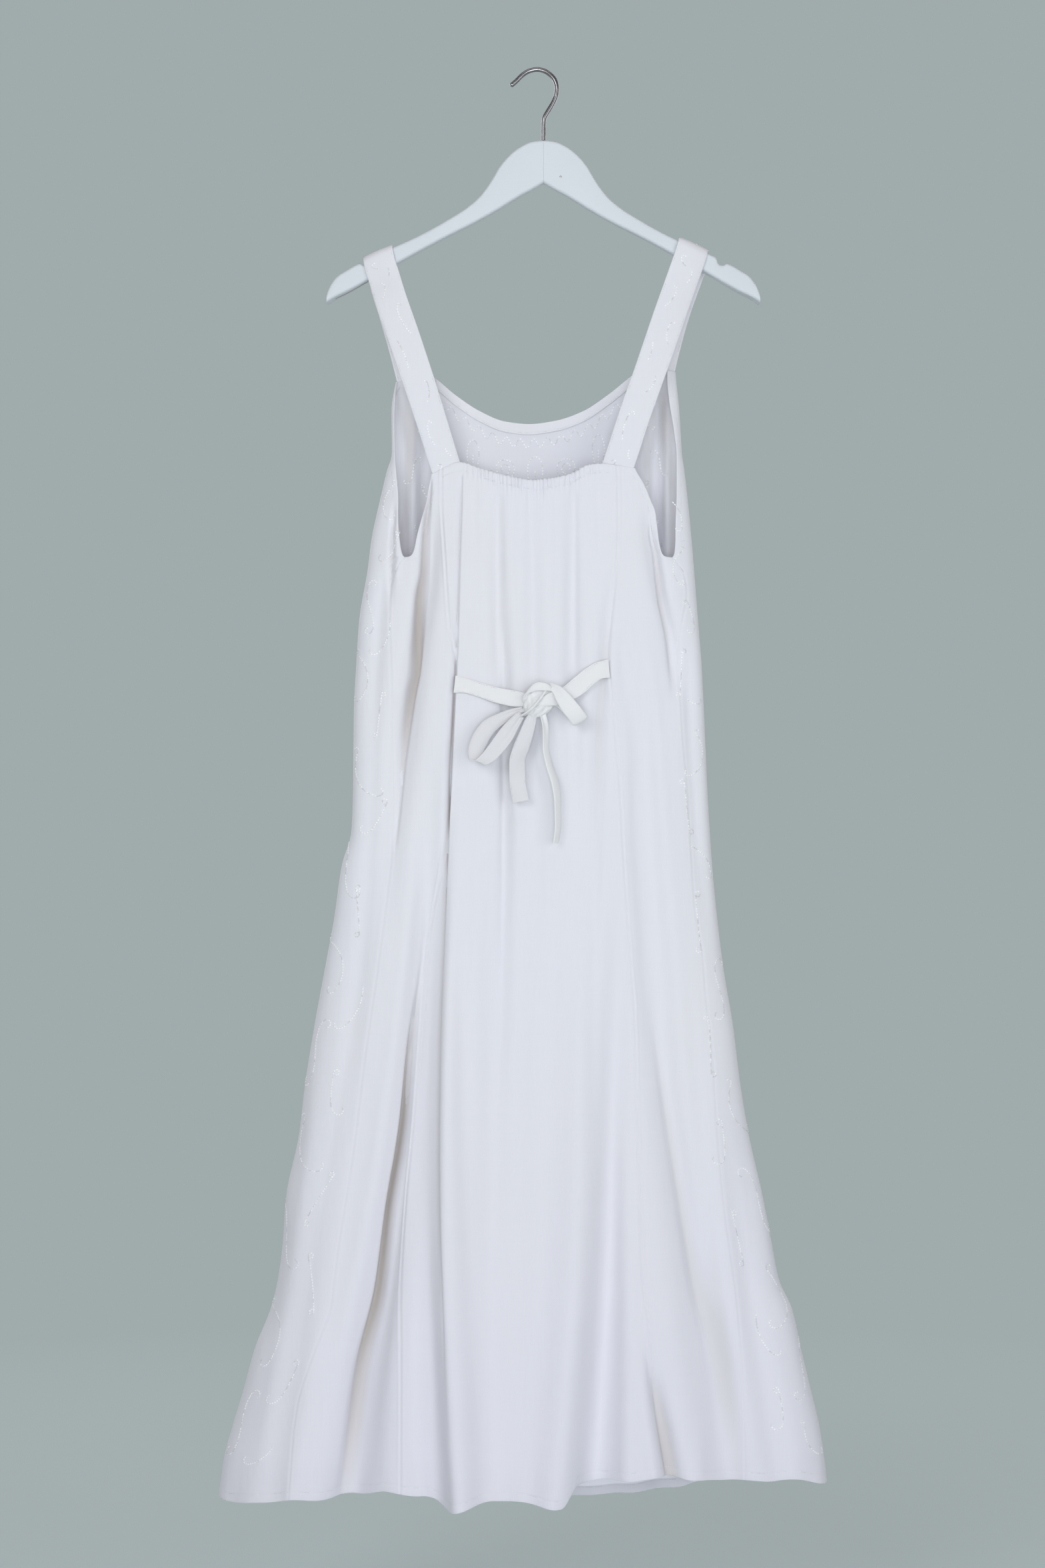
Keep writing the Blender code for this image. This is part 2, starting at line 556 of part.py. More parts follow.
def bar_section(distance, side):
    """A ring of the hanger's bar: a rectangle with cut corners, bowed towards the wall."""
    top, bottom = (smooth(HANGER_BAR, column, distance) for column in (1, 2))
    share = distance / HANGER_HALF_LENGTH
    middle = HANGER_BOW * share**2
    half = (HANGER_THICKNESS + HANGER_FLARE * share**4) / 2
    cut = min(HANGER_ROUNDING, (bottom - top) * 0.36)
    corners = (
        (-half, top + cut), (-half + cut, top), (half - cut, top), (half, top + cut),
        (half, bottom - cut), (half - cut, bottom), (-half + cut, bottom), (-half, bottom - cut),
    )
    return np.array(
        [(HANGER_MIDDLE + side * distance, middle + y, -drop) for y, drop in corners]
    ) * MM


def add_hanger_half(name, side, look):
    rings = [bar_section(row[0], side) for row in HANGER_BAR]
    return add_rings(name, rings, look)


def add_hook(look):
    """The hook as one bent wire."""
    numbered = [(step, *row) for step, row in enumerate(HOOK_PATH)]
    at = np.linspace(0, len(HOOK_PATH) - 1, 3 * (len(HOOK_PATH) - 1) + 1)
    curve = bpy.data.curves.new("hanger_hook", "CURVE")
    curve.dimensions = "3D"
    curve.bevel_depth = HOOK_WIRE / 2 * MM
    curve.bevel_resolution = 2
    curve.use_fill_caps = True
    line = curve.splines.new("POLY")
    line.points.add(len(at) - 1)
    for point, x, drop in zip(line.points, smooth(numbered, 1, at), smooth(numbered, 2, at)):
        point.co = (x * MM, 0, -drop * MM, 1)
    curve.materials.append(look)
    hook = bpy.data.objects.new("hanger_hook", curve)
    bpy.context.collection.objects.link(hook)
    return hook


def main():
    for old in list(bpy.data.objects):
        bpy.data.objects.remove(old)
    cloth = material("cloth", (0.74, 0.77, 0.82), 0.75)
    trim = material("trim", (0.80, 0.82, 0.84), 0.75)
    paint = material("white_paint", (0.68, 0.74, 0.80), 0.4)
    steel = material("steel", (0.42, 0.41, 0.40), 0.35, 1.0)
    add_panel("front_panel", FRONT, FRONT_COLUMNS, FRONT_BODICE_ROWS, cloth)
    add_panel("back_centre", BACK_CENTRE, BACK_COLUMNS, BODICE_ROWS, cloth)
    add_panel("back_side_left", BACK_LEFT, SIDE_COLUMNS, BODICE_ROWS, cloth)
    add_panel("back_side_right", BACK_RIGHT, SIDE_COLUMNS, BODICE_ROWS, cloth)
    add_neck_casing(trim)
    add_neck_facing(trim)
    add_ribbon("strap_left", STRAP_LEFT, 24, 2, CLOTH, cloth)
    add_ribbon("strap_right", STRAP_RIGHT, 24, 2, CLOTH, cloth)
    add_ribbon("tie_left", TIE_LEFT, 8, 2, TIE_CLOTH, trim)
    add_ribbon("tie_right", TIE_RIGHT, 8, 2, TIE_CLOTH, trim)
    add_ribbon("bow_loop_left", LOOP_LEFT, 20, 2, LOOP_CLOTH, trim)
    add_ribbon("bow_loop_right", LOOP_RIGHT, 16, 2, LOOP_CLOTH, trim)
    add_ribbon("bow_end_left", END_LEFT, 10, 2, TIE_CLOTH, trim)
    add_ribbon("bow_end_right", END_RIGHT, 10, 2, TIE_CLOTH, trim)
    add_knot(trim)
    add_hanger_half("hanger_bar_left", -1, paint)
    add_hanger_half("hanger_bar_right", 1, paint)
    add_hook(steel)


main()
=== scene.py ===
"""A sleeveless maxi dress on a contoured wooden hanger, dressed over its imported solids.

The back of the dress faces -Y, +X is to the viewer's right and +Z is up. The origin is the
underside of the hook's crown. Tables are in millimetres, and "drop" is the distance below the
origin. The cloth follows lens-shaped plan sections, with the folds laid out along their normals.
"""

import math
from collections import namedtuple

import bmesh
import bpy
import numpy as np
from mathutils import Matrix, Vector


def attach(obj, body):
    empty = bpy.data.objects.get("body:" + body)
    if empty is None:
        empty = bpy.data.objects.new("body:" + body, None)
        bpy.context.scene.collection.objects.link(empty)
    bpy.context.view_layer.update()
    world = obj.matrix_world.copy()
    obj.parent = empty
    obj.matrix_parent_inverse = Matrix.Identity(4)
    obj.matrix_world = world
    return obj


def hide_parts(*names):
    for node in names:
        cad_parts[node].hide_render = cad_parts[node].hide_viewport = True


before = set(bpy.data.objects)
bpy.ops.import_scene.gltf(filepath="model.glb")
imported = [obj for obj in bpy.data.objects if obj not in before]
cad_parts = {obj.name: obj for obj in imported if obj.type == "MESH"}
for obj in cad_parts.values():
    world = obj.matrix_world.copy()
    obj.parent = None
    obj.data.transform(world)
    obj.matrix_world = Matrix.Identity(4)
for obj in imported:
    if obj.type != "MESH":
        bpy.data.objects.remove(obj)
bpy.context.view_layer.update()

bl_info = {
    "name": "Maxi dress on a hanger",
    "version": (1, 0, 0),
    "blender": (4, 5, 0),
    "location": "3D View > Sidebar > Dress",
    "description": "Builds the cloth, sewing, embroidery, hanger and stage of a hanging maxi dress",
    "category": "Object",
}

# A millimetre in metres, and a distance longer than any on the dress
MM = 0.001
BEYOND = 1000.0

# Edges of the cloth that bend by more than this many degrees are drawn sharp
CLOTH_SHARP = 60

# The face towards the viewer and the face towards the wall
NEAR = 1
FAR = -1

# The plan section: how blunt its sides are, the step of its slopes and the gap between two panels
BLUNTNESS = 0.85
ANGLE_STEP = 0.006
SEAM_GAP = 0.03

# Levels of the dress, and the steps that find a panel's top edge
ARMHOLE_BOTTOM = 497
HEM_LEVEL = 1440
FRONT_TOP_LEVEL = 330
BACK_TOP_LEVEL = 410
TOP_STEPS = 6

# Plan sections: drop, left x, right x, y of both edges, depth towards the viewer and towards the wall
BODY = (
    (300, -142, 141, 12, 16, 12),
    (315, -144.5, 142.5, 11, 18, 13),
    (345, -149, 145.5, 10, 22, 14),
    (389, -148.5, 148, 7, 26, 18),
    (407, -153.5, 150.5, 6, 27, 19),
    (435, -160, 153.5, 4, 28, 21),
    (477, -169, 157.5, 2, 29, 24),
    (509, -173, 160, 0, 30, 26),
    (560, -181.5, 164, 0, 31, 27),
    (604, -184.5, 167.5, 0, 31, 27),
    (653, -187, 170, 0, 31, 27),
    (741, -188, 174, 0, 33, 28),
    (775, -189.5, 176, 0, 34, 28),
    (811, -199.5, 178.5, 0, 36, 28),
    (863, -207, 183.5, 0, 39, 29),
    (915, -216.5, 190, 0, 42, 29),
    (972, -227, 199.5, 0, 46, 30),
    (1035, -237, 207.5, 0, 50, 31),
    (1085, -243, 216, 0, 54, 32),
    (1147, -256, 230, 0, 57, 33),
    (1199, -260, 240, 0, 60, 34),
    (1232, -264.5, 246.5, 0, 62, 34),
    (1262, -272, 260, 0, 64, 35),
    (1302, -288, 269, 0, 66, 36),
    (1346, -300, 279.5, 0, 68, 37),
    (1382, -311, 288, 0, 70, 37),
    (1417, -320, 293, 0, 72, 38),
    (1450, -324, 296, 0, 73, 38),
)

# Seams on the viewer's side: drop, x
SIDE_SEAM_LEFT = (
    (497, -134), (503, -138.5), (512, -144), (530, -149.6), (560, -150), (630, -148), (720, -147),
    (800, -149), (850, -154), (900, -160), (1000, -174), (1100, -186), (1200, -201), (1250, -207),
    (1300, -224), (1350, -240), (1380, -244), (1450, -248),
)
SIDE_SEAM_RIGHT = (
    (497, 137), (503, 142.5), (513, 149.4), (532, 152.4), (566, 147), (594, 143), (626, 145), (678, 148),
    (742, 154), (800, 157), (850, 160), (902, 168), (941, 171), (993, 177), (1072, 182), (1149, 189),
    (1253, 203), (1342, 209), (1450, 211),
)
BACK_SEAM_LEFT = (
    (400, -97), (432, -97), (509, -93), (565, -89), (617, -82.5), (636, -84), (684, -86), (743, -89),
    (811, -98), (890, -112), (1019, -123), (1076, -127), (1149, -133), (1253, -137), (1450, -137),
)
BACK_SEAM_RIGHT = (
    (400, 81), (457, 82), (509, 80), (560, 75), (600, 72), (621, 74), (665, 78), (722, 83), (811, 88),
    (915, 95), (952, 98), (1083, 101), (1219, 105), (1274, 112), (1349, 118), (1408, 129), (1450, 133),
)

# Armhole edges, from the strap corner down to the side seam: drop, x
ARMHOLE_FRONT_LEFT = (
    (300, -143), (315, -144.5), (362, -146.5), (385, -146), (413, -143.5), (434, -141.5), (454, -141.3),
    (470, -140.4), (481, -139.4), (488, -138.4), (492.6, -137.4), (495.4, -136.2), (496.7, -134.9),
)
ARMHOLE_FRONT_RIGHT = (
    (300, 133), (314, 133), (336, 135), (368, 140), (392, 142.4), (432, 142), (466, 140.6), (480, 140.5),
    (488, 140), (493, 139.2), (496.2, 138),
)
ARMHOLE_BACK_LEFT = (
    (405, -105), (412, -107), (427, -110.8), (441, -113), (462, -118.6), (475, -122), (487, -124.4),
    (492, -125.8), (495, -127.6), (496.4, -129.6), (496.9, -131.8),
)
ARMHOLE_BACK_RIGHT = (
    (400, 98), (406, 99.3), (424, 109), (440, 115.6), (450, 119.7), (464, 121.7), (479, 123.5),
    (488, 125.2), (493, 126.8), (495.6, 129), (496.7, 132.4),
)

# Lines that the columns of the back panels follow, so that a sharp fold stays sharp: drop, x
GROOVE = (
    (412, -76.6), (460, -78), (506, -79.6), (592, -81.8), (617, -83.2), (684, -86.4), (743, -89.6),
    (811, -92.4), (880, -94.6), (960, -96.6), (1040, -96.4), (1150, -93.6), (1220, -90.6), (1300, -86.6),
    (1380, -83), (1460, -80),
)
LEFT_VALLEY = (
    (414, -108), (430, -109.4), (466, -112.4), (534, -118), (592, -124.6), (648, -133), (700, -134),
    (760, -122), (840, -113), (912, -118.3), (988, -129.2), (1070, -137.4), (1151, -150.5),
    (1233, -161.8), (1314, -180.9), (1396, -191.8), (1460, -200),
)
RIGHT_VALLEY = (
    (440, 112), (476, 116), (492, 119.4), (541, 126), (580, 134), (640, 139), (760, 130), (900, 120),
    (1032, 129), (1150, 148), (1233, 162), (1300, 178), (1400, 196), (1460, 203),
)

# Top edges and hems: x, drop
FRONT_NECKLINE = (
    (-144, 315.5), (-108, 308.8), (-104.5, 310.8), (-83.6, 327.8), (-58.5, 344.1), (-33.3, 354.3),
    (-8.2, 357), (19, 353.6), (46.9, 344.1), (72.1, 327.8), (97.2, 308), (103.4, 303.4), (106, 302.6),
    (140.8, 305.3),
)
BACK_NECKLINE = (
    (-107, 412.3), (-79, 400.4), (-60, 406.3), (-41, 411.8), (-24, 416.2), (-5, 418.9), (12, 417.5),
    (26, 414.8), (38, 410.7), (51, 403.6), (66, 402), (99, 406.3),
)
HEM_NEAR = (
    (-324, 1453), (-293, 1451), (-239, 1444), (-185, 1442), (-152, 1434), (-116, 1438), (-79, 1449),
    (-44, 1441), (-4, 1444), (22, 1447), (42, 1428), (90, 1422), (133, 1420), (189, 1427), (257, 1429),
    (296, 1437),
)
HEM_FAR = (
    (-324, 1453), (-200, 1452), (-150, 1449), (0, 1457), (50, 1460), (93, 1458), (133, 1450),
    (171, 1443), (230, 1440), (296, 1437),
)

# Folds of each face: rows of drop, x, half width, height outwards and, where it leans, how far right
FOLDS = {}
FOLDS[NEAR] = (
    # left: below the armhole, running out over the waist
    ((440, -106, 8, 0), (500, -109, 10, -8), (630, -129, 12, -9), (720, -141, 14, -7),
     (800, -150, 14, -4), (900, -156, 14, 0)),
    # left: the deep valley of the skirt
    ((690, -107, 14, 0), (800, -109, 16, -7), (900, -113, 18, -13), (1070, -130, 20, -15),
     (1200, -148, 21, -18), (1320, -172, 24, -22), (1460, -190, 26, -24)),
    # left: the valley between the back seam and the centre flute
    ((820, -98, 9, 0), (950, -106, 10, -5), (1070, -108, 13, -8), (1200, -106, 15, -10),
     (1320, -102, 17, -10), (1460, -98, 18, -8)),
    # centre: left crest of the flute
    ((740, -80, 10, 0, 0), (1000, -88, 13, 9, -4), (1200, -87, 16, 15, -7), (1460, -70, 19, 18, -8)),
    # centre: soft troughs below the gathers
    ((425, -42, 9, -2), (520, -41, 9, -4.5), (640, -37, 10, -5), (800, -37, 12, -6), (1000, -42, 14, -5),
     (1200, -45, 16, -4), (1460, -48, 18, -3)),
    ((430, -4, 9, -1.5), (600, -4, 10, -4), (800, 0, 12, -3), (1000, 0, 14, 0)),
    ((425, 36, 9, -2), (600, 35, 10, -5), (800, 38, 12, -3), (960, 39, 14, 0)),
    # centre: right crest of the flute, and the valley beside it
    ((800, 50, 12, 0, 0), (1000, 44, 14, 4, 0), (1200, 36, 17, 7, 1), (1460, 14, 20, 10, 2)),
    ((820, 84, 12, 0), (1000, 78, 14, -7), (1200, 73, 17, -14), (1460, 58, 21, -24)),
    # right: below the armhole
    ((440, 112, 7, 0), (480, 116, 8, -4), (530, 125, 8, -5), (590, 139, 9, -4), (650, 144, 9, 0)),
    # right: the long soft valleys of the skirt
    ((600, 108, 10, 0), (700, 110, 12, -4), (800, 115, 14, -6), (1000, 129, 18, -9), (1200, 158, 21, -12),
     (1460, 198, 25, -15)),
    ((1310, 112, 10, 0), (1360, 121, 11, -4), (1400, 131, 12, -4.4), (1460, 139, 13, -2)),
    ((960, -190, 16, 0), (1150, -212, 20, 5), (1460, -252, 26, 9)),
    ((1000, 196, 16, 0), (1200, 214, 18, -6), (1460, 250, 20, -9)),
)
FOLDS[FAR] = (
    # wall side: plain flutes like those of the back
    ((360, -92, 8, 0), (450, -100, 9, -5), (560, -108, 11, -6), (700, -112, 14, 0)),
    ((360, 96, 8, 0), (450, 104, 9, -5), (560, 110, 11, -6), (700, 114, 14, 0)),
    ((620, -128, 14, 0), (900, -148, 20, -6), (1200, -176, 26, -11), (1460, -212, 30, -14)),
    ((640, -52, 14, 0), (900, -62, 20, -6), (1200, -78, 26, -11), (1460, -94, 30, -14)),
    ((640, 14, 14, 0), (900, 18, 20, -5), (1200, 22, 26, -10), (1460, 24, 30, -13)),
    ((620, 84, 14, 0), (900, 96, 20, -6), (1200, 118, 26, -11), (1460, 142, 30, -14)),
)

# Fine creases of each face: the skew, above 0 where the left side is steep, then rows without a lean
CREASES = {}
CREASES[NEAR] = (
    # centre: the pleat line from the neckline's corner to the waist, and on as the groove by the seam
    (-0.6, ((412, -76.6, 1.8, 0), (418, -76.8, 2, -2.2), (460, -78, 2.2, -2.6), (506, -79.6, 2.2, -2.4),
     (592, -81.8, 2.4, -2.8), (617, -83.2, 2.6, -3.6), (684, -86.4, 2.8, -5), (743, -89.6, 3, -5.6),
     (811, -92.4, 3.4, -6), (880, -94.6, 4, -6.4), (960, -96.6, 4.6, -6.4), (1040, -96.4, 5.2, -6.4),
     (1150, -93.6, 5.6, -6), (1220, -90.6, 6.4, -4.4), (1300, -86.6, 8, -1.8), (1380, -83, 9, 0))),
    (0, ((418, -76.8, 1.2, 0), (440, -77.4, 1.2, -1.2), (592, -81.8, 1.2, -1.8), (617, -83.2, 1.2, -3),
     (743, -89.6, 1.3, -3.6), (960, -96.6, 1.4, -3.8), (1150, -93.6, 1.6, -3.8), (1220, -90.6, 2.2, -2),
     (1300, -86.6, 2.6, 0))),
    (0, ((900, -84, 6, 0), (1000, -84, 8, 2.4), (1200, -78, 9, 3), (1440, -66, 11, 3))),
    # left: the dark line that runs from the armhole over the waist
    (-0.2, ((414, -108, 2.4, 0), (430, -109.4, 2.8, -4), (466, -112.4, 3, -6.5), (512, -114.5, 3.2, -8),
     (534, -117.6, 4.2, -9.5), (580, -121.4, 4.2, -10), (614, -124.4, 4, -10), (634, -128.4, 4, -9.5),
     (665, -133, 4, -8), (690, -136, 3.6, -6), (716, -138.4, 2.8, -4.5), (750, -141.4, 2.6, -3),
     (800, -146, 3, 0))),
    # left: the small fold that the front makes beside the armhole
    (0.2, ((440, -146, 2, 0), (462, -147.4, 2.4, -3), (492, -148.6, 2.6, -4.4), (520, -149.6, 3, -2.6),
     (552, -151, 4, 0))),
    (0, ((446, -141.6, 2, 0), (470, -142.6, 2.4, 1.8), (500, -142, 3, 2), (530, -142, 4, 0))),
    # left: the narrow heart of the deep skirt valley and the ridge beside it
    (0.3, ((840, -113, 3, 0), (912, -118.3, 3.4, -1.8), (988, -129.2, 3.4, -8), (1070, -137.4, 3.4, -12),
     (1151, -150.5, 3.6, -13), (1233, -161.8, 4.2, -12), (1314, -180.9, 6.5, -9), (1380, -190, 8, -7),
     (1440, -198, 9, -4))),
    (0, ((900, -112, 5, 0), (1000, -120, 6, 1.5), (1100, -128, 7, 3), (1233, -138, 8, 3),
     (1330, -150, 10, 2), (1450, -162, 12, 1))),
    # centre: the step at the foot of the bow, lighter on its left
    (0.6, ((560, -34, 5, 0), (600, -34.4, 5.4, -1.6), (660, -34.5, 6, -3.8), (740, -34.6, 6.4, -3.4),
     (840, -35, 7, -1.8), (960, -36, 8, -1), (1060, -37, 9, 0))),
    (0, ((610, -42, 4, 0), (660, -42, 5, 1.4), (820, -43, 6, 1.6), (1020, -45, 8, 0))),
    # centre: the long valley by the right seam
    (-0.2, ((500, 79, 5, 0), (560, 72, 5.6, -2.8), (607, 68.5, 6.2, -4.4), (650, 65, 7, -4.6),
     (760, 61, 8, -3.2), (880, 56.5, 9, -2.2), (1000, 54, 10, -1.2), (1120, 55, 11, 0))),
    # right: below the armhole and over the hip
    (0.4, ((462, 114.6, 2, 0), (476, 116, 2.6, -3.4), (492, 119.4, 3, -4.8), (541, 126, 3.6, -5.4),
     (580, 134, 4.4, -4), (640, 139, 6, 0))),
    (0.3, ((940, 116, 7, 0), (1032, 129, 8, -3), (1150, 148, 9, -4.5), (1233, 162, 10, -5),
     (1300, 178, 12, -3), (1400, 196, 14, 0))),
    # right: the short dark fold that opens at the hem
    (0.5, ((1290, 108, 6, 0), (1345, 118.6, 7, -6), (1423, 133, 8, -8), (1460, 140, 9, -7))),
    (0, ((1280, 100, 6, 0), (1345, 107, 7, 3), (1460, 122, 9, 4))),
    # centre: soft lines that run down out of the gathers
    (0, ((424, -63, 4, 0), (440, -63, 4.2, -0.9), (500, -62, 4.6, -0.6), (570, -61, 5, 0))),
    (0.2, ((426, -40, 4, 0), (445, -40, 4.4, -1.2), (560, -40, 5.5, -1.6), (640, -38, 6, 0))),
    (0, ((428, -24, 4, 0), (440, -24, 4, -0.7), (500, -24, 4.6, -0.5), (560, -24, 5, 0))),
    (0, ((428, -8, 4, 0), (440, -8, 4, -0.9), (520, -6, 5, -0.7), (640, -4, 5.5, 0))),
    (0, ((428, 13, 4, 0), (440, 13, 4, -0.9), (530, 14, 5, -0.9), (610, 15, 5.5, 0))),
    (-0.2, ((426, 37.5, 4, 0), (442, 37.6, 4.4, -1.4), (560, 37, 5.5, -1.8), (650, 37, 6, 0))),
    (0, ((424, 50, 4, 0), (440, 50, 4.2, -0.9), (500, 52, 4.8, -0.5), (560, 54, 5, 0))),
    (0, ((422, 61, 4, 0), (436, 61, 4.2, -0.7), (490, 63, 4.6, -0.4), (530, 64, 5, 0))),
    # centre: long soft bands of the skirt
    (0, ((760, -62, 8, 0), (900, -64, 9, 1.8), (1100, -64, 11, 2), (1300, -58, 12, 1.4),
     (1440, -52, 14, 1))),
    (0, ((700, -14, 8, 0), (860, -14, 9, -1.8), (1060, -16, 11, -2), (1300, -20, 13, -1.6),
     (1440, -24, 14, -1))),
    (0, ((640, 22, 7, 0), (760, 22, 8, -1.8), (900, 18, 9, -1.6), (1100, 8, 12, -1.2),
     (1440, -4, 14, -1))),
    (0, ((1020, 86, 8, 0), (1200, 90, 9, 3), (1440, 92, 11, 4))),
    # right side panel
    (0, ((620, 98, 7, 0), (760, 100, 8, -2), (900, 108, 9, -2), (1040, 114, 11, 0))),
    (0, ((560, 110, 6, 0), (640, 118, 7, 1.6), (800, 130, 9, 1.8), (1000, 146, 11, 1.4),
     (1300, 170, 14, 1))),
    (0, ((900, 150, 8, 0), (1060, 164, 10, -2), (1300, 190, 13, -3), (1440, 204, 14, -3))),
    # left side panel and the wraps of the front
    (0, ((760, -122, 7, 0), (900, -134, 8, 2), (1100, -160, 10, 3), (1300, -196, 13, 3),
     (1440, -214, 15, 2))),
    (0, ((640, -164, 7, 0), (760, -168, 8, -2), (900, -178, 10, -2.4), (1100, -206, 12, -3),
     (1440, -262, 16, -3))),
    (0, ((980, -218, 8, 0), (1160, -238, 10, 2), (1440, -284, 14, 2.5))),
    (0, ((500, -152, 5, 0), (540, -158, 6, -2), (620, -164, 7, -2), (700, -168, 8, 0))),
    (0, ((560, 152, 5, 0), (640, 154, 6, -2), (760, 160, 7, -2), (900, 174, 9, 0))),
    (0, ((1000, 186, 8, 0), (1180, 216, 10, 2), (1440, 262, 13, 2.5))),
    # hollows that the waist ties pull in beside the seams
    (0, ((575, 84, 6, 0), (606, 88, 7, -2.4), (640, 92, 8, -2), (700, 98, 10, 0))),
)
CREASES[FAR] = (
    # wall side: folds that stand in the armholes, seen from inside
    (0, ((318, -126, 6, 0), (360, -127, 6, -3.4), (430, -127.4, 6, -4.6), (490, -128, 6, -4),
     (540, -128, 7, 0))),
    (0, ((330, -112, 6, 0), (380, -114, 6, 2.4), (440, -116, 6, 3), (500, -118, 6, 0))),
    (0, ((318, 134, 6, 0), (360, 134.6, 5.6, -3.4), (430, 134, 5.6, -4.8), (486, 133.5, 5.6, -4.4),
     (530, 134, 6, 0))),
    (0, ((316, 124, 6, 0), (340, 124, 6, 2), (430, 123.4, 6, 3), (490, 122, 6, 2.4), (530, 121, 7, 0))),
    (0, ((330, 104, 7, 0), (380, 108, 7, -2), (440, 110, 7, -2), (520, 112, 9, 0))),
    # wall side: soft lines under the neckline and long lines of the skirt
    (0, ((345, -70, 6, 0), (400, -74, 7, -2), (520, -84, 9, -2.4), (640, -92, 11, 0))),
    (0, ((345, 70, 6, 0), (400, 74, 7, -2), (520, 84, 9, -2.4), (640, 92, 11, 0))),
    (0, ((380, 0, 10, 0), (460, 2, 12, -1.6), (600, 4, 14, -1.6), (700, 6, 16, 0))),
    (0, ((700, -20, 10, 0), (900, -24, 12, 2.4), (1200, -30, 15, 3), (1450, -34, 18, 3))),
    (0, ((680, 48, 10, 0), (900, 56, 12, 2.4), (1200, 68, 15, 3), (1450, 80, 18, 3))),
    (0, ((760, -108, 10, 0), (1000, -122, 12, 2.4), (1450, -156, 18, 3.4))),
    (0, ((720, 130, 10, 0), (1000, 150, 12, 2.4), (1450, 196, 18, 3.4))),
    (0, ((900, -196, 9, 0), (1100, -222, 12, -2.4), (1450, -266, 16, -3))),
    (0, ((900, 178, 9, 0), (1100, 200, 12, -2.4), (1450, 244, 16, -3))),
)

# At the sides the folds and the creases fade out below these sines of the plan angle
FOLD_FADE = 0.4
CREASE_FADE = 0.3

# A column of the grid that follows a sharp fold keeps this share of its panel on either side
GUIDE_MARGIN = 0.03

# Gathers of the back neckline: their span in x, and how far below the casing each one runs
GATHERS = 36
GATHER_SPAN = (-78, 65)
GATHER_HEIGHT = 1.8
GATHER_REACH = (
    3, 4, 9, 3, 5, 12, 3, 4, 7, 15, 4, 3, 8, 13, 3, 5, 9, 16, 4, 3, 8, 11, 3, 4, 13, 6, 3, 4, 10, 3,
    8, 3, 5, 9, 3, 4, 3,
)
PUCKER_BLUNTNESS = 0.7
PUCKER_LEVEL = 0.6

# Bands of the two necklines, with their rows of stitching
CASING_DEPTH = 10
CASING_STITCH = 9
CASING_THICKNESS = 1.9
CASING_PUFF = 0.3
CASING_LEVELS = (0, 0.35, 1, 2, 3.2, 4.6, 6, 7.4, 8.6, 9.4, CASING_DEPTH)
FACING_SPAN = (-104, 103)
FACING_DEPTH = 11
FACING_STITCH = 9.4
FACING_LEVELS = (0.15, 0.6, 1.4, 3, 5, 7, 8.6, FACING_STITCH, 10, 10.6, FACING_DEPTH)

# Turned edges: the depth of the armhole and neckline turns, and of the hem, and how softly they end
EDGE_TURN = 7
HEM_TURN = 9.5
TURN_SOFTNESS = 0.9
TURN_SWELL = 0.12
TURN_LOFT = 0.15
EDGE_ROUNDING = 0.3
ROUNDING_REACH = 0.35

# The stitching of a turned edge: its distance from the cut end, and the width and depth of its groove
STITCH_INSET = 1.2
GROOVE_WIDTH = 0.7
GROOVE_DEPTH = 0.22

# Rumples of the hem: how far they stand out, how far up they reach, and their lengths
HEM_RUMPLE = 0.7
HEM_RUMPLE_REACH = 24
RUMPLE_LENGTH = 5.3
RUMPLE_SPACING = 17

# How much the edge of the hem wanders, and over what lengths
HEM_WANDER = 0.7
WANDER_SHORT = 7.3
WANDER_LONG = 11.9

# Rows and columns of a panel's grid that crowd towards its edges, as shares
TOP_ROWS = (0, 0.003, 0.008, 0.02, 0.04, 0.06, 0.075, 0.09)
CASING_ROWS = (0, 0.01, 0.03, 0.06)
ARMHOLE_ROWS = (0, 0.0012, 0.003, 0.0065, 0.013, 0.024, 0.04)
HEM_ROWS = (0, 0.0004, 0.0012, 0.003, 0.0055, 0.0078, 0.0088, 0.0098, 0.0112)
SIDE_COLUMNS = (0, 0.0008, 0.002, 0.004, 0.008, 0.014, 0.022)

# Where the painted warm shade of a fold starts, its full depth, and how much the wide folds count
PAINTED_SHADE_START = 2.5
PAINTED_SHADE_DEPTH = 10.0
PAINTED_SHADE_FOLD_SHARE = 0.04

# Ribbons: x, y, drop, width, tilt (right end up) and turn (right end to the wall), both in degrees
STRAP_LEFT = (
    (-89.4, -13, 416, 30.2, 22, 0), (-92.9, -13.4, 405, 30.4, 23.2, 0), (-97, -15, 392, 30.6, 23.2, 0),
    (-106, -14.8, 363, 31, 23, 0), (-119.4, -12.4, 321, 32, 23, 0), (-134, -8, 277, 32.5, 23, -4),
    (-149, -1, 234, 33, 23, -8), (-156.6, 4.8, 209, 33, 22.6, -11), (-160.8, 5.6, 196, 33, 22.4, -11),
    (-162.6, 7, 187, 33, 22.3, -11), (-163.2, 11.6, 182.2, 33, 22.3, -11),
    (-163.3, 17.1, 181.2, 33, 22.3, -11), (-163, 22.6, 182.2, 33, 22.3, -11),
    (-162.2, 27.2, 187, 33, 22.3, -11), (-160, 28.6, 196, 33, 21, -11), (-156, 28.4, 212, 33, 19, -9),
    (-147, 25.6, 240, 33.5, 16, -5), (-136, 22.6, 276, 34.5, 12, -2), (-128, 17.8, 303, 36.4, 9.6, 0),
    (-124.2, 16, 317, 37, 8.6, 0),
)
